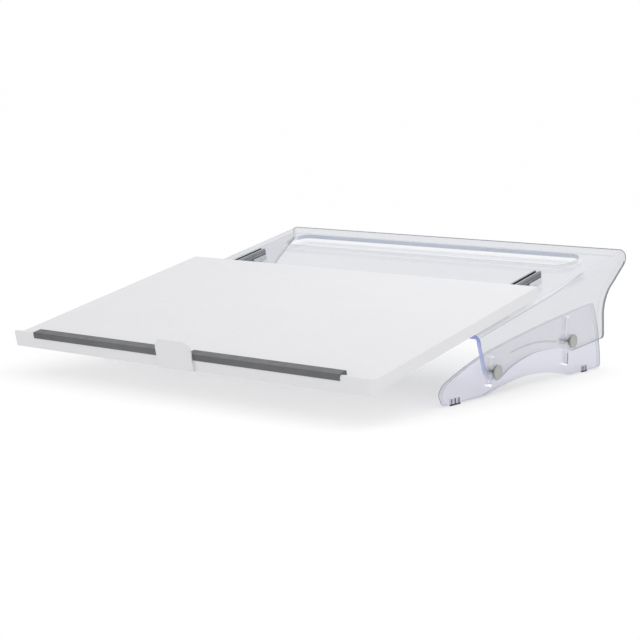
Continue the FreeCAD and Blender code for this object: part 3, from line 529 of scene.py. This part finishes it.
    def tint(self, shader: Shader) -> Socket:
        """Tint the deck, the walls and the pen tray, with faint clouds and the painted refraction of the channel
        in the bend.
        """
        _, angle = self.skin(shader)
        upright = shader.rise(angle, *self.bend_angles)
        clouds = shader.times(shader.noise(cells=9.0, detail=4.0), self.haze_share)
        plain = shader.mix(clouds, shader.mix(upright, self.deck_sheet, self.sheet), self.haze)
        in_tray = shader.times(shader.below(shader.sideways(), DECK.wall_inner - DECK.bend),
                               shader.below(shader.height(), self.deck_bottom))
        return self.streak.draw(shader, angle, shader.mix(in_tray, plain, self.formed))

    def material(self) -> Material:
        """Build the material."""
        shader = Shader(self.name)
        marks = shader.noise(cells=1400.0, detail=2.0, lengths=(4.0, 1.0, 8.0))
        smears = shader.noise(cells=55.0, detail=5.0, lengths=(1.0, 3.0, 1.0))
        solid, solid_color = self.solid_parts(shader, marks)
        shader.link(shader.ramp(smears, 0.02, 0.07, 0.35, 0.75), "Roughness")
        shader.link(shader.mix(solid, self.tint(shader), solid_color), "Base Color")
        clearness = shader.ramp(self.skin(shader)[1], self.deck_clearness, self.clearness, 0.0,
                                FULL_TURN / 4)
        shader.link(shader.times(clearness, shader.rest(solid)), "Transmission Weight")
        shader.set(IOR=1.001, Coat_Weight=1.0, Coat_IOR=1.49, Coat_Roughness=0.03)
        shader.bump(marks, 0.01 * MM, 0.15)
        return shader.material


@dataclass(frozen=True)
class LegSheet(ClearSheet):
    """The legs' clear sheet, with soft grey lines painted along its polished edges, its corners and its sight
    groove in place of refracted shade, and painted glints on the slots' ends.
    """

    sheet: Color = (0.83, 0.83, 0.925)
    covered: Color = (0.965, 0.955, 1.0)  # tint of the part that lies against the wall
    deeper: float = 0.86  # factor of the tint toward the rear
    leg_places: Pair = (-20 * MM, 240 * MM)
    # Painted grey lines on the edges, corners and sight groove, in place of refracted shade; the faint haze is
    # also tinted toward this colour.
    line: Color = (0.13, 0.14, 0.19)
    glint: Color = (0.97, 0.97, 0.98)  # painted glints on the slots' ends
    glint_reach: float = 2.3 * MM
    glint_light: float = 0.7  # emission strength that makes the painted glints glow
    half_sheet: float = 2.5 * MM
    edge_share: float = 0.08  # strength of the painted grey lines on the edges between their corners
    corner_share: float = 0.9
    groove_share: float = 0.3  # strength of the painted grey line on the sight groove's floor
    groove_place: float = 2 * MM  # its distance from the middle of the sheet
    side_facing: Pair = (0.9, 0.97)
    slot_way: Vector = UP
    slot_half: float = 5.5 * MM  # half the width within which a slot is looked for
    slot_margin: float = 1 * MM  # how far past its ends it is looked for
    slots: tuple[Triple, ...] = ()  # place beside and along slot_way, and half the length, of each
    feet: tuple[Pair, ...] = ()  # middle and half the length of each
    notch_top: float = 0.0  # height of the top of the feet's notches over the floor
    corners: Pair = (1.3 * MM, 1.7 * MM)  # distance of the sheet's corners from its middle
    rear_places: Pair = (15 * MM, 40 * MM)  # the outline changes from the inner corner to the outer one
    # Lower outline of the wall, as places up the deck and depths under its top face.
    wall_hem: tuple[Pair, ...] = (
        (0.0, 0.012), (0.0046, 0.043), (0.0073, 0.0495), (0.0124, 0.0547), (0.0187, 0.0586),
        (0.0265, 0.0604), (0.0475, 0.056), (0.0693, 0.0544), (0.0904, 0.0549), (0.1113, 0.0573),
        (0.132, 0.0617), (0.1521, 0.0679), (0.181, 0.0807), (0.252, 0.089), (0.2552, 0.0848),
        (0.259, 0.060))
    hem_blur: Pair = (-0.8 * MM, 0.8 * MM)
    wall_rear: Pair = (0.2585, 0.2605)

    def near_slot(self, shader: Shader) -> tuple[Socket, Socket]:
        """Find the walls of the slots, and their ends.

        Args:
            shader: Graph that the nodes go into.

        Returns:
            1 at the slots, and 1 at their ends, otherwise 0.
        """
        found, ends = [], []
        for place, height, half in self.slots:
            beside = shader.aside(self.slot_way.cross(ACROSS), place)
            above = shader.aside(self.slot_way, height)
            inside = shader.times(shader.below(beside, self.slot_half),
                                  shader.below(above, half + self.slot_margin))
            found.append(inside)
            ends.append(shader.times(inside, shader.above(above, half - self.glint_reach)))
        return shader.most(*found), shader.most(*ends)

    def near_foot(self, shader: Shader) -> Socket:
        """Find the notches that hold the feet's prongs."""
        over_feet = [shader.below(shader.aside(AHEAD, middle), half) for middle, half in self.feet]
        return shader.times(shader.below(shader.along(UP), self.notch_top), shader.most(*over_feet))

    def solid_parts(self, shader: Shader, marks: Socket) -> tuple[Socket, Socket]:
        """Find the corners between the leg's edges and its two faces, for painted grey lines, and the slots' ends,
        for painted glints.

        Args:
            shader: Graph that the nodes go into.
            marks: Pattern of the saw marks.

        Returns:
            How solid the surface is from 0 to 1, and its colour there.
        """
        edge = shader.fall(shader.facing(ACROSS), *self.side_facing)
        sideways = shader.sideways()
        sheet_middle = DECK.wall_inner - self.half_sheet
        outward = shader.apart(sideways, sheet_middle)
        rearward = shader.rise(shader.place(), *self.rear_places)
        silhouette = shader.apart(shader.below(sideways, sheet_middle), rearward)
        corner = shader.times(edge, shader.rise(outward, *self.corners),
                              shader.ramp(silhouette, 0.3, 1.0))
        slot, ends = self.near_slot(shader)
        open_sheet = shader.ramp(shader.most(slot, self.near_foot(shader)), 1.0, 0.05)
        groove = shader.below(shader.apart(outward, self.groove_place), 0.15 * MM)
        lines = shader.most(shader.times(edge, self.edge_share),
                            shader.times(groove, self.groove_share),
                            shader.times(corner, self.corner_share))
        # Painted glints on the slots' ends, made to glow by emission.
        bright = shader.times(ends, edge)
        shader.link(shader.times(bright, self.glint_light), "Emission Strength")
        solid = shader.most(shader.times(lines, open_sheet), shader.times(bright, 0.9))
        grey = shader.mix(marks, self.line, scaled(self.line, 1.3))
        return solid, shader.mix(bright, grey, self.glint)

    def cover(self, shader: Shader) -> Socket:
        """Find the part of the leg that lies against the wall."""
        reach, drop = 0.3, 0.1
        place = shader.place()
        curve = shader.node("ValToRGB", {"Fac": shader.math("DIVIDE", place, reach)})
        stops = curve.color_ramp.elements
        while len(stops) < len(self.wall_hem):
            stops.new(1.0)
        for stop, (along, down) in zip(stops, self.wall_hem):
            stop.position = along / reach
            stop.color = (down / drop,) * 3 + (1.0,)
        hem = shader.times(curve.outputs["Color"], drop)
        over_hem = shader.math("ADD", shader.height(), hem)
        return shader.times(shader.rise(over_hem, *self.hem_blur), shader.fall(place, *self.wall_rear))

    def tint(self, shader: Shader) -> Socket:
        """Tint the sheet with a faint haze, more lightly where it lies against the wall."""
        rearward = shader.rise(shader.place(), *self.leg_places)
        bare = shader.mix(rearward, self.sheet, scaled(self.sheet, self.deeper))
        plain = shader.mix(self.cover(shader), bare, self.covered)
        clouds = shader.ramp(shader.noise(cells=14.0, detail=4.0), 0.0, 0.05)
        return shader.mix(clouds, plain, self.line)


@dataclass(frozen=True)
class Moulded:
    """Plastic or rubber with a fine grain, slight mottling and rubbed patches."""

    name: str
    color: Color
    shade: Color  # colour that it drifts to
    roughness: Pair  # lowest and highest
    cells: float = 1500.0  # grains to the metre
    height: float = 0.02 * MM  # height of the grain
    lengths: Triple = (1.0, 1.0, 1.0)  # of the grains, across, up the slope and out of the deck
    specular: float = 0.5
    metallic: float = 0.0

    def paint(self, shader: Shader, color: Socket) -> Socket:
        """Work over the plain colour, which stays as it is here."""
        return color

    def material(self) -> Material:
        """Build the material."""
        shader = Shader(self.name)
        drift = shader.noise(cells=14.0, detail=4.0)
        rubbed = shader.noise(cells=110.0, detail=5.0)
        grain = shader.noise(self.cells, 2.0, self.lengths)
        mottled = shader.mix(shader.rise(drift, 0.3, 0.7), self.color, self.shade)
        flecked = shader.mix(shader.ramp(grain, 0.0, 0.5, 0.45, 0.8), mottled, self.shade)
        shader.link(self.paint(shader, flecked), "Base Color")
        shader.link(shader.ramp(rubbed, *self.roughness, 0.3, 0.7), "Roughness")
        shader.set(Specular_IOR_Level=self.specular, Metallic=self.metallic)
        shader.bump(grain, self.height, 0.6)
        return shader.material


@dataclass(frozen=True)
class ChannelMetal(Moulded):
    """Anodised channel with dark lines along its sides and painted shade on its inner sides."""

    # Colour of the dark lines on the sides and of the painted shade on the inner sides.
    dark: Color = (0.045, 0.05, 0.06)
    middle: float = 0.0  # place of the channel's middle beside the holder's middle
    opening: float = 0.0  # half the width between its inner sides
    groove_height: float = 4 * MM  # height of the upper line over the deck
    groove_width: Pair = (0.35 * MM, 0.7 * MM)  # distances beside it between which it fades
    foot_heights: Pair = (1.0 * MM, 1.6 * MM)  # heights between which the lower line fades

    def paint(self, shader: Shader, color: Socket) -> Socket:
        """Draw dark lines along the sides and paint shade on the inner sides."""
        height = shader.height()
        groove = shader.ramp(shader.apart(height, self.groove_height), 0.6, 0.0, *self.groove_width)
        foot = shader.ramp(height, 0.9, 0.0, *self.foot_heights)
        # Painted shade on the inner sides of the channel.
        inside = shader.below(shader.apart(shader.sideways(), self.middle), self.opening + SLACK)
        shown = shader.times(shader.most(groove, foot, inside), shader.facing(ACROSS))
        return shader.mix(shown, color, self.dark)


def steel(name: str, color: Color = (0.50, 0.50, 0.51)) -> Moulded:
    """Describe plated steel in one of its shades."""
    return Moulded(name, color, scaled(color, 0.8), (0.22, 0.42), cells=2500.0, height=0.004 * MM,
                   metallic=1.0)


@dataclass(frozen=True)
class TurnedFace:
    """Satin grey face with rings left by turning, round its own axis across the holder."""

    name: str
    centre: Triple  # a point on the axis
    color: Color = (0.46, 0.47, 0.45)
    shade: Color = (0.32, 0.33, 0.31)  # colour in the rings
    roughness: Pair = (0.3, 0.5)
    rings: float = 3500.0  # rings to the metre

    def material(self) -> Material:
        """Build the material."""
        shader = Shader(self.name)
        offset = shader.node("VectorMath", {0: shader.coordinates.outputs["Object"], 1: self.centre},
                             operation="SUBTRACT")
        flat = shader.node("VectorMath", {0: offset.outputs["Vector"], 1: (0, 1, 1)},
                           operation="MULTIPLY")
        radius = shader.node("VectorMath", {0: flat.outputs["Vector"]}, operation="LENGTH")
        pattern = shader.node("TexNoise", {"W": radius.outputs["Value"], "Scale": self.rings},
                              noise_dimensions="1D")
        worn = shader.noise(cells=260.0, detail=4.0)
        ring = pattern.outputs["Fac"]
        shader.link(shader.mix(shader.rise(ring, 0.35, 0.7), self.color, self.shade), "Base Color")
        shader.link(shader.ramp(worn, *self.roughness, 0.3, 0.7), "Roughness")
        shader.set(Metallic=0.35)
        shader.bump(ring, 0.01 * MM, 0.5)
        return shader.material


@dataclass(frozen=True)
class MilkyPlastic:
    """Translucent moulded plastic, as of a washer or a clear nut."""

    name: str
    color: Color = (0.92, 0.925, 0.94)
    clearness: float = 0.9
    roughness: Pair = (0.05, 0.2)

    def material(self) -> Material:
        """Build the material."""
        shader = Shader(self.name)
        cloud = shader.noise(cells=400.0)
        shader.link(shader.mix(cloud, self.color, scaled(self.color, 0.94)), "Base Color")
        shader.link(shader.ramp(cloud, *self.roughness), "Roughness")
        shader.set(Transmission_Weight=self.clearness, IOR=1.05, Coat_Weight=0.6, Coat_IOR=1.49)
        shader.bump(cloud, 0.01 * MM, 0.4)
        return shader.material


# ---- Pieces ----

def stand(name: str, data: bpy.types.ID) -> bpy.types.Object:
    """Stand a new object in the scene."""
    thing = bpy.data.objects.new(name, data)
    bpy.context.scene.collection.objects.link(thing)
    return thing


def round_axis(point: Vector, origin: Vector, axis: Vector) -> tuple[float, Vector, float]:
    """Measure a point against an axis.

    Args:
        point: The point.
        origin: Where the axis starts.
        axis: Its direction.

    Returns:
        How far along the axis the point lies, its way out from it and its angle round it.
    """
    start = axis.orthogonal().normalized()
    offset = point - origin
    along = offset.dot(axis)
    outward = offset - axis * along
    return along, outward, math.atan2(outward.dot(axis.cross(start)), outward.dot(start))


class Piece:
    """A mesh in the making, which ends as one object that rides on a body."""

    def __init__(self, name: str) -> None:
        """Start an empty mesh for an object of this name."""
        self.name = name
        self.mesh = bmesh.new()

    def copy_solid(self, node: str) -> "Piece":
        """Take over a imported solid, with its loose triangles merged into whole faces.

        Args:
            node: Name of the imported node.

        Returns:
            The piece itself.
        """
        self.mesh.from_mesh(FRAME["nodes"][node].data)
        bmesh.ops.remove_doubles(self.mesh, verts=self.mesh.verts, dist=0.002 * MM)
        bmesh.ops.dissolve_limit(self.mesh, angle_limit=math.radians(0.15), verts=self.mesh.verts,
                                 edges=self.mesh.edges)
        return self

    def soften(self, width: float, sharper_than: float = 32.0) -> "Piece":
        """Bevel the sharp edges.

        Args:
            width: Width of the bevel.
            sharper_than: Smallest angle between two faces, in degrees, that is bevelled.

        Returns:
            The piece itself.
        """
        limit = math.radians(sharper_than)
        sharp = [edge for edge in self.mesh.edges
                 if edge.is_manifold and edge.calc_face_angle() > limit]
        bmesh.ops.bevel(self.mesh, geom=sharp, offset=width, offset_type="OFFSET", segments=2,
                        profile=0.5, affect="EDGES", clamp_overlap=True, material=-1)
        return self

    def block(self, low: Vector, high: Vector) -> "Piece":
        """Add an upright box between two corners."""
        placed = Matrix.LocRotScale((low + high) / 2, None, high - low)
        bmesh.ops.create_cube(self.mesh, size=1.0, matrix=placed)
        return self

    def turn(self, origin: Vector, axis: Vector, profile: Profile,
             steps: int = 24) -> list[bmesh.types.BMVert]:
        """Spin a profile round an axis.

        Args:
            origin: Point on the axis that the profile is measured from.
            axis: Direction of the axis.
            profile: Distance along the axis and radius of each point, from one pole to the other.
            steps: Faces round the turn.

        Returns:
            The new vertices.
        """
        before = set(self.mesh.verts)
        outward = axis.orthogonal().normalized()
        points = [self.mesh.verts.new(origin + axis * along + outward * radius)
                  for along, radius in profile]
        edges = [self.mesh.edges.new(pair) for pair in zip(points, points[1:])]
        bmesh.ops.spin(self.mesh, geom=points + edges, cent=origin, axis=axis, angle=FULL_TURN,
                       steps=steps, use_merge=True, use_duplicate=False)
        fresh = [vertex for vertex in self.mesh.verts if vertex not in before]
        bmesh.ops.remove_doubles(self.mesh, verts=fresh, dist=0.0005 * MM)
        fresh = [vertex for vertex in self.mesh.verts if vertex not in before]
        faces = list({face for vertex in fresh for face in vertex.link_faces})
        bmesh.ops.recalc_face_normals(self.mesh, faces=faces)
        return fresh

    def finish(self, carrier: Carrier, material: Material) -> None:
        """Turn the mesh into an object and hand it to the frame.

        Args:
            carrier: What it rides on and stands for.
            material: Its finish.
        """
        for face in self.mesh.faces:
            face.smooth = True
            face.material_index = 0
        mesh = bpy.data.meshes.new(self.name)
        self.mesh.to_mesh(mesh)
        self.mesh.free()
        mesh.materials.append(material)
        piece = stand(self.name, mesh)
        evened = piece.modifiers.new("even_shading", "WEIGHTED_NORMAL")
        evened.weight = 80
        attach(piece, carrier.body)
        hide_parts(*carrier.nodes)
        log.info("%s: %d faces, rides on %s", self.name, len(mesh.polygons), carrier.body)


def dress(node: str, name: str, width: float, material: Material) -> None:
    """Stand a copy with softened edges in a node's place.

    Args:
        node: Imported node.
        name: Name of the new piece.
        width: Width of the softened edges.
        material: Its finish.
    """
    Piece(name).copy_solid(node).soften(width).finish(Carrier.of(node), material)


def thread(start: float, end: float, radius: float, pitch: float) -> Profile:
    """Lay out the crests and roots of a thread along its axis.

    Args:
        start: Where the thread begins.
        end: Where it ends.
        radius: Radius of its crests.
        pitch: Distance from crest to crest.

    Returns:
        Distance along the axis and radius of each point.
    """
    turns = max(1, int(abs(end - start) / pitch))
    step = (end - start) / turns
    root = radius - 0.5 * pitch
    points: Profile = []
    for turn in range(turns):
        points += [(start + step * turn, root), (start + step * (turn + 0.4), radius),
                   (start + step * (turn + 0.6), radius)]
    return points + [(end, root)]


@dataclass(frozen=True)
class Screw:
    """A machine screw with a six-sided socket."""

    head: Head
    head_radius: float
    head_height: float
    shank_radius: float
    pitch: float = 0.5 * MM
    socket_radius: float = 1.1 * MM  # to the corners
    socket_depth: float = 0.9 * MM

    def profile(self, length: float) -> Profile:
        """Lay out the screw from its socket to its tip."""
        bevel = 0.15 * MM
        points = [(self.socket_depth, 0.0), (self.socket_depth, self.socket_radius),
                  (0.0, self.socket_radius), (0.0, self.head_radius - bevel), (bevel, self.head_radius)]
        if self.head is Head.PAN:
            points += [(self.head_height - bevel, self.head_radius),
                       (self.head_height, self.head_radius - bevel)]
        points.append((self.head_height, self.shank_radius))
        tip = 0.4 * MM
        points += thread(self.head_height + 0.5 * MM, length - tip, self.shank_radius, self.pitch)
        return points + [(length, self.shank_radius * 0.6), (length, 0.0)]

    def build(self, piece: Piece, top: Vector, downward: Vector, length: float) -> None:
        """Add the screw to a piece.

        Args:
            piece: Piece that the screw joins.
            top: Middle of the head's top.
            downward: Direction from head to tip.
            length: Whole length.
        """
        corner = math.pi / 6
        for vertex in piece.turn(top, downward, self.profile(length)):
            down, outward, angle = round_axis(vertex.co, top, downward)
            in_socket = down < self.socket_depth + 0.01 * MM
            if in_socket and abs(outward.length - self.socket_radius) < 0.05 * MM:
                off_side = angle % (2 * corner) - corner
                vertex.co -= outward * (1 - math.cos(corner) / math.cos(off_side))


def turn_screws(node: str, name: str, screw: Screw, way: Vector) -> None:
    """Turn the screws that stand for a node of screws.

    Args:
        node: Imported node.
        name: What one of the screws is called.
        screw: Their kind.
        way: Direction from head to tip.
    """
    piece = Piece(f"{name}s")
    for points in solids_of(node):
        centre = sum(points, Vector()) / len(points)
        places = [(point - centre).dot(way) for point in points]
        screw.build(piece, centre + way * min(places), way, max(places) - min(places))
    piece.finish(Carrier.of(node), steel(f"{name}_steel").material())


# ---- Sub-assemblies, in which each edge is the width of a piece's softened edges ----

@dataclass
class BentBody:
    """Clear body bent from one sheet, with its formed pen tray."""

    edge: float = 0.5 * MM

    def build(self) -> None:
        """Dress the body."""
        dress("clear_body", "bent_body", self.edge, ClearSheet("clear_body_sheet").material())


@dataclass
class WritingTray:
    """White sliding tray with its dark page stops and the runners under it."""

    edge: float = 0.35 * MM
    strip_edge: float = 0.15 * MM
    runner_edge: float = 0.2 * MM
    screw: Screw = Screw(Head.PAN, 2.0 * MM, 1.2 * MM, 1.1 * MM, 0.45 * MM, 0.9 * MM, 0.6 * MM)

    def build(self) -> None:
        """Dress the tray and all that slides with it."""
        white = Moulded("white_tray", (0.71, 0.71, 0.73), (0.695, 0.695, 0.715), (0.34, 0.46),
                        cells=1800.0, height=0.01 * MM)
        strip = Moulded("page_stop_black", (0.115, 0.118, 0.12), (0.085, 0.087, 0.09), (0.4, 0.58),
                        cells=2600.0, lengths=(60.0, 1.0, 1.0))
        runner = Moulded("runner_nylon", (0.68, 0.67, 0.63), (0.63, 0.62, 0.58), (0.38, 0.52))
        dress("document_tray", "writing_tray", self.edge, white.material())
        strip_finish, runner_finish = strip.material(), runner.material()
        for side in Side:
            dress(f"{side.word}_lip_strip", f"{side.word}_page_stop", self.strip_edge, strip_finish)
            dress(f"{side.word}_runner", f"{side.word}_glide", self.runner_edge, runner_finish)
        turn_screws("runner_screws", "glide_screw", self.screw, DECK.normal)


@dataclass
class SlideRails:
    """Lipped channels on the deck, with their end stops, screws and nuts."""

    edge: float = 0.12 * MM
    stop_edge: float = 0.25 * MM
    nut_edge: float = 0.2 * MM
    wall: float = 1.2 * MM  # thickness of the channels' walls
    screw: Screw = Screw(Head.COUNTERSUNK, 2.6 * MM, 1.5 * MM, 1.5 * MM)

    def build(self) -> None:
        """Dress the channels and what holds them."""
        low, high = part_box("right_rail")
        channel = ChannelMetal(
            "channel_anodised", (0.34, 0.36, 0.375), (0.25, 0.265, 0.28), (0.25, 0.4), cells=3200.0,
            height=0.006 * MM, lengths=(1.0, 80.0, 1.0), metallic=0.3, middle=(low.x + high.x) / 2,
            opening=(high.x - low.x) / 2 - self.wall)
        stop = Moulded("channel_stop_plastic", (0.05, 0.05, 0.052), (0.035, 0.035, 0.036), (0.4, 0.55))
        finish = channel.material()
        for side in Side:
            dress(f"{side.word}_rail", f"{side.word}_channel", self.edge, finish)
        dress("rail_end_stops", "channel_stops", self.stop_edge, stop.material())
        dress("rail_nuts", "channel_nuts", self.nut_edge, steel("channel_nut_steel").material())
        turn_screws("rail_screws", "channel_screw", self.screw, -DECK.normal)


@dataclass
class Legs:
    """Clear legs on their rubber feet."""

    edge: float = 0.4 * MM
    foot_edge: float = 0.2 * MM
    front_slot: float = 17.1 * MM  # how far the slots reach from their studs
    rear_slot: float = 28.7 * MM
    prong_width: float = 1.8 * MM  # along the leg
    prong_thickness: float = 1.1 * MM
    sole_width: float = 2.0 * MM
    inset: float = 0.2 * MM  # how far the soles stay inside the leg's outer face

    def build(self) -> None:
        """Dress both legs and their feet."""
        way = axis_of("right_leg_lift")
        slots, feet = [], []
        for end, reach in zip(End, (self.front_slot, self.rear_slot)):
            low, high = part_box(f"right_{end.value}_stud")
            middle = (low + high) / 2
            slots.append((middle.dot(way.cross(ACROSS)), middle.dot(way), reach))
            low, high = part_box(f"right_{end.value}_foot")
            feet.append(((low.y + high.y) / 2, (high.y - low.y) / 2))
        clear = LegSheet("clear_leg_sheet", slot_way=way, slots=tuple(slots), feet=tuple(feet),
                         notch_top=high.z + 0.5 * MM).material()
        rubber = Moulded("foot_rubber", (0.022, 0.022, 0.024), (0.035, 0.035, 0.037), (0.6, 0.85),
                         cells=2200.0, specular=0.3).material()
        for side in Side:
            dress(f"{side.word}_leg", f"{side.word}_leg_panel", self.edge, clear)
            for end in End:
                self.build_foot(f"{side.word}_{end.value}_foot", rubber)

    def build_foot(self, node: str, rubber: Material) -> None:
        """Build a foot's sole and the slim prongs that hold it in the leg's edge.

        Args:
            node: Packed foot.
            rubber: Its finish.
        """
        low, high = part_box(node)
        points = [point for solid in solids_of(node) for point in solid]
        sole = min(point.z for point in points if point.z > low.z + 0.1 * MM)
        starts = sorted({round(point.y, 5) for point in points if point.z > high.z - 0.1 * MM})
        outer = max(low.x, high.x, key=abs)
        middle = outer - math.copysign(self.inset + self.sole_width / 2, outer)
        side = self.sole_width / 2
        piece = Piece(f"{node}_pad").block(Vector((middle - side, low.y, low.z)),
                                           Vector((middle + side, high.y, sole)))
        for start, stop in zip(starts[::2], starts[1::2]):
            half = Vector((self.prong_thickness, self.prong_width, 0)) / 2
            foot = Vector((middle, (start + stop) / 2, 0))
            piece.block(foot - half + UP * (low.z + sole) / 2, foot + half + UP * high.z)
        piece.soften(self.foot_edge).finish(Carrier.of(node), rubber)


@dataclass
class ThumbKnobs:
    """Turned thumb knobs on threaded studs, with washers outside and clamp nuts inside."""

    rim: float = 0.4 * MM  # bevel of the rims
    face_rim: float = 1.1 * MM  # width of the raised rim on the face
    dish: float = 0.25 * MM  # depth of the face inside its rim
    seat_radius: float = 1.6 * MM
    seat_depth: float = 1.45 * MM
    flutes: int = 64
    flute_steps: int = 4  # faces round each flute
    flute_depth: float = 0.16 * MM
    pitch: float = 0.5 * MM
    stud_bevel: float = 0.3 * MM
    plain_end: float = 1.5 * MM  # length of the stud that has no thread, next to the knob
    edge: float = 0.2 * MM

    def build(self) -> None:
        """Dress the knobs, studs, washers and nuts of both sides."""
        stud_finish = steel("stud_steel", (0.34, 0.35, 0.38)).material()
        nut_finish = MilkyPlastic("clamp_nut_clear").material()
        for side, end in product(Side, End):
            place, outward = f"{side.word}_{end.value}", ACROSS * side.value
            self.build_knob(f"{place}_knob", outward)
            self.build_stud(f"{place}_stud", outward, stud_finish)
            dress(f"{place}_clamp_nut", f"{place}_nut", self.edge, nut_finish)
        washer = MilkyPlastic("washer_clear", roughness=(0.2, 0.4))
        dress("knob_washers", "clear_washers", self.edge, washer.material())

    def measure(self, node: str, outward: Vector) -> tuple[Vector, float, float]:
        """Read the middle of a turned node's inner end, its radius and its length."""
        low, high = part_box(node)
        length = high.x - low.x
        return (low + high) / 2 - outward * length / 2, (high.z - low.z) / 2, length

    def build_knob(self, node: str, outward: Vector) -> None:
        """Turn one knob and flute its rim."""
        back, radius, thickness = self.measure(node, outward)
        lip, face, eased = radius - self.rim - self.face_rim, thickness - self.dish, self.rim * 0.3
        profile = [(self.seat_depth, 0.0), (self.seat_depth, self.seat_radius), (0.0, self.seat_radius),
                   (0.0, radius - self.rim), (eased, radius - eased), (self.rim, radius),
                   (thickness / 2, radius), (thickness - self.rim, radius),
                   (thickness - eased, radius - eased), (thickness, radius - self.rim),
                   (thickness, lip), (face, lip - self.dish), (face, lip / 2), (face, 0.0)]
        piece = Piece(f"{node}_turned")
        for vertex in piece.turn(back, outward, profile, self.flutes * self.flute_steps):
            _, spoke, angle = round_axis(vertex.co, back, outward)
            if spoke.length > radius - 0.01 * MM:
                wave = 0.5 - 0.5 * math.cos(angle * self.flutes)
                vertex.co -= spoke.normalized() * wave * self.flute_depth
        piece.finish(Carrier.of(node), TurnedFace(f"{node}_face", tuple(back)).material())

    def build_stud(self, node: str, outward: Vector, finish: Material) -> None:
        """Turn one threaded stud."""
        inner, radius, length = self.measure(node, outward)
        threaded = length - self.plain_end
        profile = [(0.0, 0.0), (0.0, radius - self.stud_bevel),
                   *thread(self.stud_bevel, threaded, radius, self.pitch),
                   (threaded + 0.1 * MM, radius), (length, radius), (length, 0.0)]
        piece = Piece(f"{node}_threaded")
        piece.turn(inner, outward, profile)
        piece.finish(Carrier.of(node), finish)


# ---- Studio ----

@dataclass
class Studio:
    """Pale floor, soft light from all round and one large soft lamp, and the camera."""

    sky: float = 1.0  # strength of the light from all round
    lamp_place: Triple = (0.25, 0.15, 0.65)
    lamp_size: float = 0.6
    lamp_power: float = 0.9  # in watts
    floor_size: float = 200.0  # half its width
    floor_color: float = 0.5
    floor_glow: float = 0.5  # light that the floor gives back by itself
    camera_place: Triple = (1.2681, -1.5708, 0.3433)
    camera_turn: float = 39.0  # about the vertical, in degrees
    camera_dip: float = 8.03  # how far it looks down, in degrees
    lens: float = 95.906  # focal length in millimetres

    def build(self) -> None:
        """Set the floor, the lights and the camera."""
        self.build_floor()
        self.build_lights()
        self.build_camera()

    def build_floor(self) -> None:
        """Lay the floor under the feet."""
        mesh = bmesh.new()
        bmesh.ops.create_grid(mesh, x_segments=2, y_segments=2, size=self.floor_size)
        bmesh.ops.translate(mesh, verts=mesh.verts, vec=(0, 0, CAD_BOX[0][2]))
        data = bpy.data.meshes.new("floor")
        mesh.to_mesh(data)
        mesh.free()
        shader = Shader("pale_floor")
        grain = shader.noise(30.0, 3.0)
        shade = self.floor_color * 0.98
        shader.link(shader.mix(grain, (self.floor_color,) * 3, (shade,) * 3), "Base Color")
        shader.set(Roughness=0.9, Specular_IOR_Level=0.0, Emission_Color=(1, 1, 1, 1),
                   Emission_Strength=self.floor_glow)
        data.materials.append(shader.material)
        floor = stand("floor", data)

    def build_lights(self) -> None:
        """Light the scene evenly, with a little more from above and behind."""
        world = bpy.data.worlds.new("studio_light")
        world.use_nodes = True
        background = world.node_tree.nodes["Background"]
        background.inputs["Color"].default_value = (1.0, 1.0, 1.0, 1.0)
        background.inputs["Strength"].default_value = self.sky
        bpy.context.scene.world = world
        light = bpy.data.lights.new("softbox", "AREA")
        light.size = self.lamp_size
        light.energy = self.lamp_power
        lamp = stand("softbox", light)
        lamp.location = self.lamp_place
        lamp.rotation_euler = (-Vector(self.lamp_place)).to_track_quat("-Z", "Y").to_euler()
        lamp.visible_camera = False

    def build_camera(self) -> None:
        """Stand the camera at the right front, a little above the deck."""
        data = bpy.data.cameras.new("camera")
        data.sensor_width = 36.0
        data.lens = self.lens
        camera = stand("camera", data)
        turn, dip = math.radians(self.camera_turn), math.radians(self.camera_dip)
        level = math.cos(dip)
        forward = Vector((-math.sin(turn) * level, math.cos(turn) * level, -math.sin(dip)))
        camera.location = self.camera_place
        camera.rotation_euler = forward.to_track_quat("-Z", "Y").to_euler()
        bpy.context.scene.camera = camera
        bpy.context.scene.view_settings.view_transform = "Standard"


def main() -> None:
    """Dress the holder, one sub-assembly after another, and set the studio."""
    logging.basicConfig(level=logging.INFO, format="%(name)s: %(message)s")
    for assembly in (BentBody(), WritingTray(), SlideRails(), Legs(), ThumbKnobs(), Studio()):
        assembly.build()
        log.info("%s is done", type(assembly).__name__)


if __name__ == "__main__":
    main()
